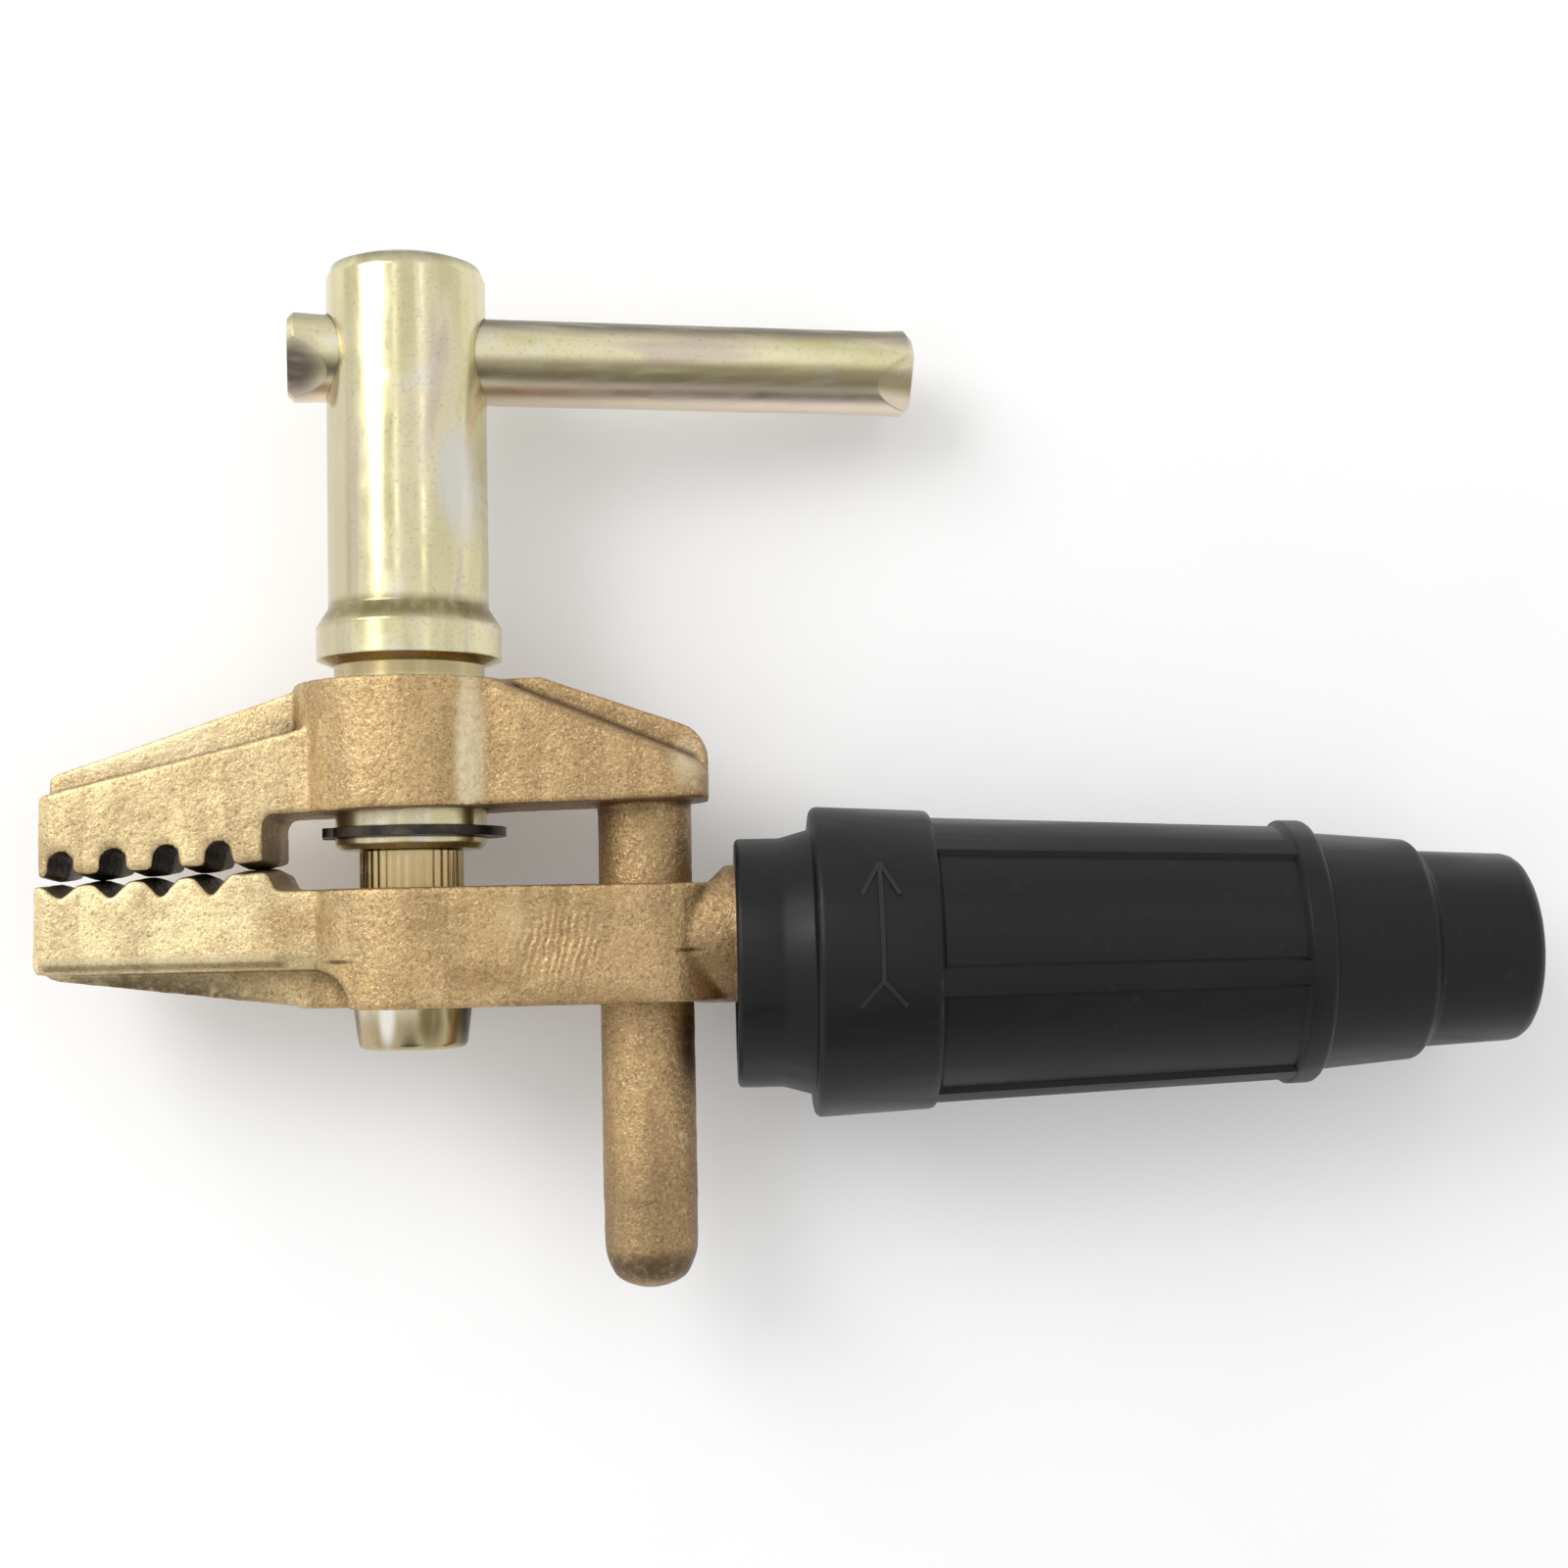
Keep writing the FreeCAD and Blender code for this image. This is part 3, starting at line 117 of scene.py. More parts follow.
class NodeBench:
    """Lays the nodes of one finish and joins them up."""

    def __init__(self, name: str) -> None:
        """Start a material with its surface shader and its coordinates in millimetres.

        Args:
            name: The material's name.
        """
        self.material = bpy.data.materials.new(name)
        self.material.use_nodes = True
        self.tree = self.material.node_tree
        self.tree.nodes.clear()
        self.shader = self.tree.nodes.new("ShaderNodeBsdfPrincipled")
        output = self.tree.nodes.new("ShaderNodeOutputMaterial")
        self.tree.links.new(self.shader.outputs["BSDF"], output.inputs["Surface"])
        self.coordinates = self.tree.nodes.new("ShaderNodeTexCoord")
        self.where = self.around(ORIGIN)

    def feed(self, target: Socket, value: Socket | float | Colour) -> None:
        """Link a socket to an input, or write a number or colour into it.

        Args:
            target: The input.
            value: What it gets.
        """
        if isinstance(value, Socket):
            self.tree.links.new(value, target)
        elif isinstance(value, tuple):
            target.default_value = (*value, 1.0)
        else:
            target.default_value = value

    def around(self, centre: Place, stretch: Place = (1.0, 1.0, 1.0), turn: float = 0.0) -> Socket:
        """Coordinates in millimetres, measured from a point and stretched.

        Args:
            centre: The point, in millimetres.
            stretch: Factors on the three coordinates.
            turn: Angle round the upright axis, in degrees.

        Returns:
            The coordinates.
        """
        mapping = self.tree.nodes.new("ShaderNodeMapping")
        mapping.vector_type = "POINT"
        self.tree.links.new(self.coordinates.outputs["Object"], mapping.inputs["Vector"])
        scale = [factor / MM for factor in stretch]
        swing = Matrix.Rotation(math.radians(turn), 3, "Z")
        moved = swing @ Vector([-c * s * MM for c, s in zip(centre, scale)])
        mapping.inputs["Location"].default_value = moved
        mapping.inputs["Rotation"].default_value = (0.0, 0.0, math.radians(turn))
        mapping.inputs["Scale"].default_value = scale
        return mapping.outputs["Vector"]

    def mottle(self, kind: Mottle, where: Socket | None = None) -> Socket:
        """Soft noise.

        Args:
            kind: Its grain.
            where: Coordinates in millimetres, if they aren't the plain ones.

        Returns:
            A value round one half.
        """
        cloud = self.tree.nodes.new("ShaderNodeTexNoise")
        cloud.inputs["Scale"].default_value = 1.0 / kind.size
        cloud.inputs["Detail"].default_value = kind.detail
        cloud.inputs["Distortion"].default_value = kind.swirl
        self.tree.links.new(self.where if where is None else where, cloud.inputs["Vector"])
        return cloud.outputs["Fac"]

    def graded(self, value: Socket, low: float, high: float, first: float = 0.0, last: float = 1.0) -> Socket:
        """Spread a range of a value over another range, and clamp it.

        Args:
            value: The value.
            low: Lower end of its range.
            high: Upper end of its range.
            first: What the lower end becomes.
            last: What the upper end becomes.

        Returns:
            The new value.
        """
        spread = self.tree.nodes.new("ShaderNodeMapRange")
        spread.clamp = True
        spread.interpolation_type = "SMOOTHSTEP"
        self.feed(spread.inputs["Value"], value)
        spread.inputs["From Min"].default_value = low
        spread.inputs["From Max"].default_value = high
        spread.inputs["To Min"].default_value = first
        spread.inputs["To Max"].default_value = last
        return spread.outputs["Result"]

    def banded(self, texture: Socket, band: Band) -> Socket:
        """The share of a colour that shows in a band of a texture."""
        return self.graded(texture, band.start, band.full, 0.0, band.share)

    def reckoned(self, operation: str, first: Socket | float, second: Socket | float) -> Socket:
        """Do sums with two values.

        Args:
            operation: Name of the sum, such as ADD.
            first: First value.
            second: Second value.

        Returns:
            The result.
        """
        sums = self.tree.nodes.new("ShaderNodeMath")
        sums.operation = operation
        self.feed(sums.inputs[0], first)
        self.feed(sums.inputs[1], second)
        return sums.outputs["Value"]

    def tinted(self, share: Socket, first: Socket | Colour, second: Socket | Colour) -> Socket:
        """Go from one colour to another.

        Args:
            share: The share of the second colour.
            first: First colour.
            second: Second colour.

        Returns:
            The mixed colour.
        """
        mix = self.tree.nodes.new("ShaderNodeMix")
        mix.data_type = "RGBA"
        self.feed(mix.inputs[0], share)
        self.feed(mix.inputs[6], first)
        self.feed(mix.inputs[7], second)
        return mix.outputs[2]

    def veiled(self, under: Socket | Colour, over: Colour, texture: Socket, band: Band) -> Socket:
        """Lay a colour over another in a band of a texture."""
        return self.tinted(self.banded(texture, band), under, over)

    def split(self, where: Socket) -> tuple[Socket, Socket, Socket]:
        """Take coordinates apart.

        Args:
            where: The coordinates.

        Returns:
            The three values.
        """
        apart = self.tree.nodes.new("ShaderNodeSeparateXYZ")
        self.tree.links.new(where, apart.inputs["Vector"])
        return apart.outputs["X"], apart.outputs["Y"], apart.outputs["Z"]

    def nearness(self, centre: Place, reach: Place) -> Socket:
        """A soft spot round a point.

        Args:
            centre: The point, in millimetres.
            reach: Half-widths of the spot, in millimetres.

        Returns:
            One at the point and nothing outside the spot.
        """
        length = self.tree.nodes.new("ShaderNodeVectorMath")
        length.operation = "LENGTH"
        spot = self.around(centre, tuple(1.0 / r for r in reach))
        self.tree.links.new(spot, length.inputs[0])
        return self.graded(length.outputs["Value"], SPOT_CORE, 1.0, 1.0, 0.0)

    def openness(self, reach: float) -> Socket:
        """How open the surface lies, from hollow to free.

        Args:
            reach: How far off a wall still counts, in millimetres.

        Returns:
            One where nothing is near.
        """
        hollow = self.tree.nodes.new("ShaderNodeAmbientOcclusion")
        hollow.samples = HOLLOW_SAMPLES
        hollow.only_local = True
        hollow.inputs["Distance"].default_value = reach * MM
        return hollow.outputs["AO"]

    def curvature(self) -> Socket:
        """The curvature of a fine mesh: over one half on its edges, and under it in its corners."""
        return self.tree.nodes.new("ShaderNodeNewGeometry").outputs["Pointiness"]

    def stacked(self, *layers: tuple[Socket, float]) -> Socket:
        """Add up two textures, each times its height in millimetres."""
        first, second = (self.reckoned("MULTIPLY", texture, height) for texture, height in layers)
        return self.reckoned("ADD", first, second)

    def relief(self, height: Socket, eased: float = 0.0) -> None:
        """Give the surface a relief.

        Args:
            height: The height in millimetres.
            eased: Radius that the edges seem to have, in millimetres.
        """
        bump = self.tree.nodes.new("ShaderNodeBump")
        bump.inputs["Strength"].default_value = 1.0
        bump.inputs["Distance"].default_value = MM
        self.tree.links.new(height, bump.inputs["Height"])
        if eased:
            edge = self.tree.nodes.new("ShaderNodeBevel")
            edge.samples = EDGE_SAMPLES
            edge.inputs["Radius"].default_value = eased * MM
            self.tree.links.new(edge.outputs["Normal"], bump.inputs["Normal"])
        self.tree.links.new(bump.outputs["Normal"], self.shader.inputs["Normal"])

    def finished(
            self, colour: Socket, roughness: Socket, metallic: float, specular: float = 0.5) -> bpy.types.Material:
        """Give the shader its colour, roughness, metal and shine.

        Args:
            colour: The colour.
            roughness: The roughness.
            metallic: How much of a metal it is.
            specular: How much a surface that is no metal reflects.

        Returns:
            The material.
        """
        self.feed(self.shader.inputs["Base Color"], colour)
        self.feed(self.shader.inputs["Roughness"], roughness)
        self.shader.inputs["Metallic"].default_value = metallic
        self.shader.inputs["Specular IOR Level"].default_value = specular
        return self.material


@dataclass(frozen=True)
class Spot:
    """A soft patch of another colour: a stain, a rubbed place, a patch of painted shade, a painted highlight, or a
    painted reflection.
    """

    centre: Place
    reach: Place
    colour: Colour
    share: float = 0.8

    def laid_on(self, bench: NodeBench, colour: Socket, ragged: Socket) -> Socket:
        """Lay the patch over a colour, as far as its ragged grain leaves it."""
        near = bench.reckoned("MULTIPLY", bench.nearness(self.centre, self.reach), self.share)
        return bench.tinted(bench.reckoned("MULTIPLY", near, ragged), colour, self.colour)


@dataclass(frozen=True)
class Seam:
    """A thin straight line painted on a casting: painted shade at the foot of a rib or under a ridge, or a painted
    highlight along a ridge.
    """

    start: tuple[float, float]
    end: tuple[float, float]
    colour: Colour
    width: float = 0.8
    share: float = 0.7
    fade: float = 1.5

    def laid_on(self, bench: NodeBench, colour: Socket) -> Socket:
        """Lay the line over a colour.

        Args:
            bench: The finish's bench.
            colour: The colour under it.

        Returns:
            The new colour.
        """
        run, rise = self.end[0] - self.start[0], self.end[1] - self.start[1]
        length, lean = math.hypot(run, rise), math.degrees(math.atan2(rise, run))
        along, across, _ = bench.split(bench.around((*self.start, 0.0), turn=-lean))
        off = bench.reckoned("ABSOLUTE", across, 0.0)
        near = bench.graded(off, SEAM_CORE * self.width, self.width, self.share, 0.0)
        near = bench.reckoned("MULTIPLY", near, bench.graded(along, 0.0, self.fade))
        near = bench.reckoned("MULTIPLY", near, bench.graded(along, length, length - self.fade))
        return bench.tinted(near, colour, self.colour)


@dataclass(frozen=True)
class FileMarks:
    """The strokes of a file on a dressed place of a casting."""

    centre: Place
    reach: Place = (7.0, 6.5, 30.0)
    closeness: float = 0.33
    waver: float = 5.0
    detail: float = 2.0
    lean: float = 12.0
    height: float = 0.11

    def cut(self, bench: NodeBench) -> Socket:
        """Draw the strokes.

        Args:
            bench: The finish's bench.

        Returns:
            Their height in millimetres.
        """
        wave = bench.tree.nodes.new("ShaderNodeTexWave")
        wave.inputs["Scale"].default_value = self.closeness
        wave.inputs["Distortion"].default_value = self.waver
        wave.inputs["Detail"].default_value = self.detail
        bench.tree.links.new(bench.around(self.centre, turn=self.lean), wave.inputs["Vector"])
        strokes = bench.reckoned("MULTIPLY", wave.outputs["Fac"], bench.nearness(self.centre, self.reach))
        return bench.reckoned("MULTIPLY", strokes, self.height)


@dataclass(frozen=True)
class CastBrass:
    """Sand-cast brass: pale at the jaw tips, browner towards the cable, with painted shade on its upright walls,
    between its teeth and in its hollows and creases, and painted highlights on its grain and edges.
    """

    tip: Colour = srgb(244, 219, 167)
    middle: Colour = srgb(205, 174, 124)
    far: Colour = srgb(190, 158, 114)
    # painted highlight, laid as glints on the grain and on convex edges
    glint: Colour = srgb(240, 220, 176)
    # the darker brown of the grain, and also painted shade on upright walls and in concave creases
    shade: Colour = srgb(122, 94, 62)
    # painted shade, laid on the upright walls near the teeth and in hollows
    deep_shade: Colour = srgb(52, 40, 30)
    grain: Mottle = Mottle(0.36, 4.0, 0.9)
    sand: Mottle = Mottle(0.864, 2.0)
    cloud: Mottle = Mottle(9.0)
    sweep: Mottle = Mottle(1.0, 1.0)
    sweep_stretch: Place = (0.30, 0.06, 0.30)
    sweep_turn: float = 20.0
    wander: Ramp = (0.3, 0.7, -9.0, 9.0)
    to_middle: Band = Band(6.0, 27.0)
    to_far: Band = Band(34.0, 72.0)
    clouded: Band = Band(0.52, 0.36, 0.25)
    swept: Band = Band(0.56, 0.42, 0.22)
    pits: Band = Band(0.50, 0.32, 0.55)
    dips: Band = Band(0.46, 0.30, 0.22)
    # painted highlight: glints on the grain
    grain_glints: Band = Band(0.54, 0.72, 0.6)
    # painted highlight on convex edges
    crests: Band = Band(0.55, 0.64, 0.4)
    # painted shade in concave creases
    valleys: Band = Band(0.488, 0.455, 0.8)
    # painted shade on upright walls
    walls: Band = Band(0.80, 0.25, 0.42)
    # painted shade on the upright walls near the teeth
    notches: Band = Band(0.80, 0.25, 0.94)
    # painted shade in hollows, from an occlusion mask
    hollows: Band = Band(0.84, 0.36, 0.9)
    hollow_reach: float = 4.0
    teeth: Place = (-1.0, 0.8, 0.0)
    teeth_reach: Place = (22.0, 6.5, 40.0)
    patchy: Mottle = Mottle(1.1)
    ragged: Ramp = (0.25, 0.55, 0.55, 1.0)
    roughness: Ramp = (0.30, 0.75, 0.52, 0.36)
    grain_relief: float = 0.09
    sand_relief: float = 0.144
    metallic: float = 0.8
    filed: FileMarks | None = None
    seams: tuple[Seam, ...] = ()
    spots: tuple[Spot, ...] = ()

    def material(self, name: str) -> bpy.types.Material:
        """Build the finish.

        Args:
            name: The material's name.

        Returns:
            The material.
        """
        bench = NodeBench(name)
        grain, sand, cloud = (bench.mottle(kind) for kind in (self.grain, self.sand, self.cloud))
        sweep = bench.mottle(self.sweep, bench.around(ORIGIN, self.sweep_stretch, self.sweep_turn))
        along = bench.reckoned("ADD", bench.split(bench.where)[0], bench.graded(cloud, *self.wander))
        curve = bench.curvature()
        colour = self.tip
        # Of these layers, the glints on the grain and on convex edges are painted highlights, and the darkening of
        # concave creases is painted shade.
        for over, texture, band in (
                (self.middle, along, self.to_middle), (self.far, along, self.to_far),
                (self.shade, cloud, self.clouded), (self.shade, sweep, self.swept),
                (self.shade, grain, self.pits), (self.shade, sand, self.dips), (self.glint, grain, self.grain_glints),
                (self.glint, curve, self.crests), (self.shade, curve, self.valleys)):
            colour = bench.veiled(colour, over, texture, band)
        ragged = bench.graded(bench.mottle(self.patchy), *self.ragged)
        for spot in self.spots:
            colour = spot.laid_on(bench, colour, ragged)
        for seam in self.seams:
            colour = seam.laid_on(bench, colour)
        # Painted shade on upright walls.
        level = bench.reckoned("ABSOLUTE", bench.split(bench.coordinates.outputs["Normal"])[2], 0.0)
        colour = bench.veiled(colour, self.shade, level, self.walls)
        # Painted shade, darkest on the upright walls near the teeth and in hollows.
        near_teeth = bench.nearness(self.teeth, self.teeth_reach)
        notch = bench.reckoned("MULTIPLY", bench.banded(level, self.notches), near_teeth)
        colour = bench.tinted(notch, colour, self.deep_shade)
        colour = bench.veiled(colour, self.deep_shade, bench.openness(self.hollow_reach), self.hollows)
        height = bench.stacked((grain, self.grain_relief), (sand, self.sand_relief))
        if self.filed is not None:
            height = bench.reckoned("ADD", height, self.filed.cut(bench))
        bench.relief(height)
        return bench.finished(colour, bench.graded(grain, *self.roughness), self.metallic)


LOWER_JAW_BRASS = CastBrass(
    tip=srgb(254, 232, 180),
    far=srgb(200, 168, 122),
    filed=FileMarks((50.7, -9.9, 10.0)),
    seams=(
        # painted highlight along the top edge of the flange's bevel
        Seam((-14.2, -10.7), (16.0, -10.7), srgb(255, 238, 196), 0.6, 0.5),
        # painted shade on the bevel below it
        Seam((-14.2, -11.6), (17.0, -11.6), srgb(104, 80, 52), 0.7, 0.65),
    ),
    spots=(
        # painted shade under the flange, over the recess of the lower arm
        Spot((-6.0, -15.6, 0.0), (30.0, 4.4, 30.0), srgb(84, 68, 50), 0.9),
        # painted shade on the lower side of the tail
        Spot((70.0, -14.0, 5.0), (6.0, 10.0, 12.0), srgb(112, 88, 62), 0.3),
        # painted shade along the bottom edge towards the tail
        Spot((54.0, -17.5, 8.0), (14.0, 4.0, 14.0), srgb(134, 108, 76), 0.45),
        Spot((24.0, -11.4, 11.0), (3.4, 0.45, 3.0), srgb(88, 66, 44), 0.9),
        # painted shade in the hollow beside the boss
        Spot((40.5, -13.6, 9.0), (7.5, 3.4, 8.0), srgb(138, 106, 70), 0.6),
        Spot((45.0, -7.0, 10.0), (3.5, 5.0, 6.0), srgb(226, 200, 152), 0.45),
        Spot((66.0, -10.8, 8.0), (3.0, 0.45, 3.0), srgb(88, 66, 44), 0.9),
    ),
)

UPPER_JAW_BRASS = CastBrass(
    seams=(
        # painted shade along the foot of the rib on the left arm
        Seam((-14.4, 10.0), (18.0, 17.9), srgb(112, 86, 56), 0.8, 0.75),
        # painted shade along the foot of the rib on the guide arm
        Seam((43.5, 23.5), (68.5, 13.2), srgb(96, 72, 48), 0.9, 0.8),
    ),
    spots=(
        # painted highlight: an upright bright band on the boss beside the guide arm
        Spot((39.8, 13.0, 12.5), (2.3, 16.0, 9.0), srgb(250, 234, 198), 0.8),
        # painted highlight: an upright band at the guide arm's end
        Spot((66.5, 13.0, 7.0), (3.0, 5.0, 8.0), srgb(240, 222, 184), 0.6),
        # painted light: the rib along the left arm made paler where it faces the lamps
        Spot((0.0, 15.5, 2.0), (18.0, 6.0, 6.5), srgb(238, 220, 178), 0.7),
        # painted shade: the guide pin darker towards its lower end
        Spot((61.0, -44.0, 0.0), (12.0, 12.0, 12.0), srgb(126, 104, 78), 0.5),
        # painted shade on the upper right of the guide pin
        Spot((67.6, -22.0, 2.0), (4.2, 8.5, 9.0), srgb(52, 42, 34), 0.9),
        # painted shade round the guide pin's bottom rim
        Spot((61.0, -50.5, 0.0), (12.0, 3.4, 12.0), srgb(70, 56, 42), 0.85),
    ),
)


@dataclass(frozen=True)
class PlatedSteel:
    """Zinc-plated steel with a yellow passivated film in yellow, green and rose, and painted shade in its hollows.
    """

    axis: Axis
    yellow: Colour = srgb(230, 221, 184)
    green: Colour = srgb(214, 206, 160)
    rose: Colour = srgb(212, 196, 178)
    worn: Colour = srgb(224, 220, 210)
    grey: Colour = srgb(168, 162, 146)
    # painted shade in hollows
    hollow_shade: Colour = srgb(70, 60, 40)
    film: Mottle = Mottle(4.5, 2.0, 0.6)
    patches: Mottle = Mottle(7.0, 4.0, 0.8)
    dust: Mottle = Mottle(0.5)
    greenish: Band = Band(0.40, 0.62)
    rosy: Band = Band(0.46, 0.30)
    rubbed: Band = Band(0.58, 0.72, 0.8)
    dusty: Band = Band(0.52, 0.76, 0.4)
    hollows: Band = Band(0.8, 0.3)
    hollow_reach: float = 2.0
    patchy: Mottle = Mottle(1.1)
    ragged: Ramp = (0.25, 0.55, 0.75, 1.0)
    roughness: Ramp = (0.3, 0.7, 0.17, 0.30)
    dust_relief: float = 0.002
    film_relief: float = 0.012
    eased: float = 0.35
    spots: tuple[Spot, ...] = ()

    def material(self, name: str) -> bpy.types.Material:
        """Build the finish.

        Args:
            name: The material's name.

        Returns:
            The material.
        """
        bench = NodeBench(name)
        drawn = bench.around(ORIGIN, self.axis.stretch())
        film = bench.mottle(self.film, drawn)
        patches, dust = bench.mottle(self.patches), bench.mottle(self.dust)
        colour = self.yellow
        for over, texture, band in (
                (self.green, film, self.greenish), (self.rose, film, self.rosy),
                (self.worn, patches, self.rubbed), (self.grey, dust, self.dusty)):
            colour = bench.veiled(colour, over, texture, band)
        ragged = bench.graded(bench.mottle(self.patchy, drawn), *self.ragged)
        for spot in self.spots:
            colour = spot.laid_on(bench, colour, ragged)
        # Painted shade in hollows.
        colour = bench.veiled(colour, self.hollow_shade, bench.openness(self.hollow_reach), self.hollows)
        bench.relief(bench.stacked((dust, self.dust_relief), (film, self.film_relief)), self.eased)
        return bench.finished(colour, bench.graded(patches, *self.roughness), 1.0)


@dataclass(frozen=True)
class PlainMetal:
    """A plain machined or rolled metal with specks, handling marks and eased edges."""

    base: Colour
    stain: Colour
    roughness: float = 0.35
    smoother: float = 0.08
    rougher: float = 0.12
    cloud: Mottle = Mottle(5.0, 4.0, 0.5)
    specks: Mottle = Mottle(0.6)
    clouded: Band = Band(0.42, 0.70)
    specked: Band = Band(0.60, 0.80, 0.6)
    relief: float = 0.01
    eased: float = 0.15

    def material(self, name: str) -> bpy.types.Material:
        """Build the finish.

        Args:
            name: The material's name.

        Returns:
            The material.
        """
        bench = NodeBench(name)
        cloud, specks = bench.mottle(self.cloud), bench.mottle(self.specks)
        colour = bench.veiled(self.base, self.stain, cloud, self.clouded)
        colour = bench.veiled(colour, self.stain, specks, self.specked)
        rough = bench.graded(cloud, 0.3, 0.7, self.roughness - self.smoother, self.roughness + self.rougher)
        bench.relief(bench.reckoned("MULTIPLY", specks, self.relief), self.eased)
        return bench.finished(colour, rough, 1.0)


@dataclass(frozen=True)
class MouldedRubber:
    """Black moulded rubber, half matt, with a little dust and paler rubbed edges."""

    black: Colour = srgb(8, 8, 10)
    dusty: Colour = srgb(18, 18, 20)
    rubbed: Colour = srgb(38, 38, 41)
    flow: Mottle = Mottle(6.0, 3.0, 0.5)
    flow_stretch: Place = (0.25, 1.0, 1.0)
    fine: Mottle = Mottle(0.35, 2.0)
    dust: Mottle = Mottle(1.6, 5.0)
    flowing: Band = Band(0.40, 0.75, 0.8)
    dusted: Band = Band(0.62, 0.80, 0.5)
    edges: Band = Band(0.53, 0.66)
    roughness: Ramp = (0.3, 0.7, 0.34, 0.50)
    fine_relief: float = 0.012
    flow_relief: float = 0.10
    specular: float = 0.31

    def material(self, name: str) -> bpy.types.Material:
        """Build the finish.

        Args:
            name: The material's name.

        Returns:
            The material.
        """
        bench = NodeBench(name)
        flow = bench.mottle(self.flow, bench.around(ORIGIN, self.flow_stretch))
        fine, dust = bench.mottle(self.fine), bench.mottle(self.dust)
        colour = bench.veiled(self.black, self.dusty, flow, self.flowing)
        colour = bench.veiled(colour, self.rubbed, dust, self.dusted)
        colour = bench.veiled(colour, self.rubbed, bench.curvature(), self.edges)
        bench.relief(bench.stacked((fine, self.fine_relief), (flow, self.flow_relief)))
        return bench.finished(colour, bench.graded(flow, *self.roughness), 0.0, self.specular)


# Shaping


def turned(outline: list[tuple[float, float, float]], axis: Axis, centre: Place, steps: int) -> bmesh.types.BMesh:
    """Spin a closed outline round an axis.

    Args:
        outline: Place along the axis, radius and rounding of each corner, in millimetres.
        axis: The direction of the axis.
        centre: A point on the axis, from which the places are measured.
        steps: Number of steps of the spin.

    Returns:
        The closed shape.
    """
    shape = bmesh.new()
    corners = []
    for along, radius, rounding in outline:
        flat = (along, radius, 0.0) if axis is Axis.ALONG_THE_CABLE else (radius, along, 0.0)
        corners.append((shape.verts.new(flat), radius, rounding))
    for number, (corner, radius, _) in enumerate(corners):
        after, radius_after, _ = corners[(number + 1) % len(corners)]
        if radius > 0.0 or radius_after > 0.0:
            shape.edges.new((corner, after))
    for rounding in sorted({r for _, _, r in corners if r > 0.0}):
        chosen = [corner for corner, _, r in corners if r == rounding]
        bmesh.ops.bevel(
            shape, geom=chosen, offset=rounding, segments=ROUNDING_SEGMENTS, profile=0.5, affect="VERTICES",
            material=-1)
    bmesh.ops.spin(
        shape, geom=shape.verts[:] + shape.edges[:], cent=ORIGIN, axis=axis.value,
        angle=math.tau, steps=steps, use_merge=True)
    bmesh.ops.remove_doubles(shape, verts=shape.verts[:], dist=1e-4)
    bmesh.ops.recalc_face_normals(shape, faces=shape.faces[:])
    bmesh.ops.translate(shape, verts=shape.verts[:], vec=centre)
    return shape


def joined(*parts: bmesh.types.BMesh) -> bmesh.types.BMesh:
    """Put shapes together in one.

    Args:
        parts: The shapes, which are used up.

    Returns:
        The whole shape.
    """
    whole = bmesh.new()
    for part in parts:
        mesh = bpy.data.meshes.new("part")
        part.to_mesh(mesh)
        part.free()
        whole.from_mesh(mesh)
        bpy.data.meshes.remove(mesh)
    return whole


def smoothed(shape: bmesh.types.BMesh, verts: list[bmesh.types.BMVert], rounds: int) -> None:
    """Smooth some points of a shape.

    Args:
        shape: The shape.
        verts: The points.
        rounds: How often they are smoothed.
    """
    for _ in range(rounds if verts else 0):
        bmesh.ops.smooth_vert(shape, verts=verts, factor=0.5, use_axis_x=True, use_axis_y=True, use_axis_z=True)


def settled(shape: bmesh.types.BMesh, name: str, sharp: float = 50.0) -> bpy.types.Object:
    """Make an object of a shape that was built in millimetres.

    Args:
        shape: The shape.
        name: The piece's name.
        sharp: Angle between faces, in degrees, from which an edge stays hard.

    Returns:
        The object, at the origin.
    """
    bmesh.ops.scale(shape, vec=(MM, MM, MM), verts=shape.verts[:])
    for face in shape.faces:
        face.smooth = True
    for edge in shape.edges:
        if len(edge.link_faces) == 2 and edge.calc_face_angle(0.0) > math.radians(sharp):
            edge.smooth = False
    mesh = bpy.data.meshes.new(name)
    shape.to_mesh(mesh)
    shape.free()
    piece = bpy.data.objects.new(name, mesh)
    bpy.context.scene.collection.objects.link(piece)
    return piece


def coat(piece: bpy.types.Object, material: bpy.types.Material) -> None:
    """Put a material on a piece.

    Args:
        piece: The piece.
        material: Its material.
    """
    piece.data.materials.clear()
    piece.data.materials.append(material)


# The clamp


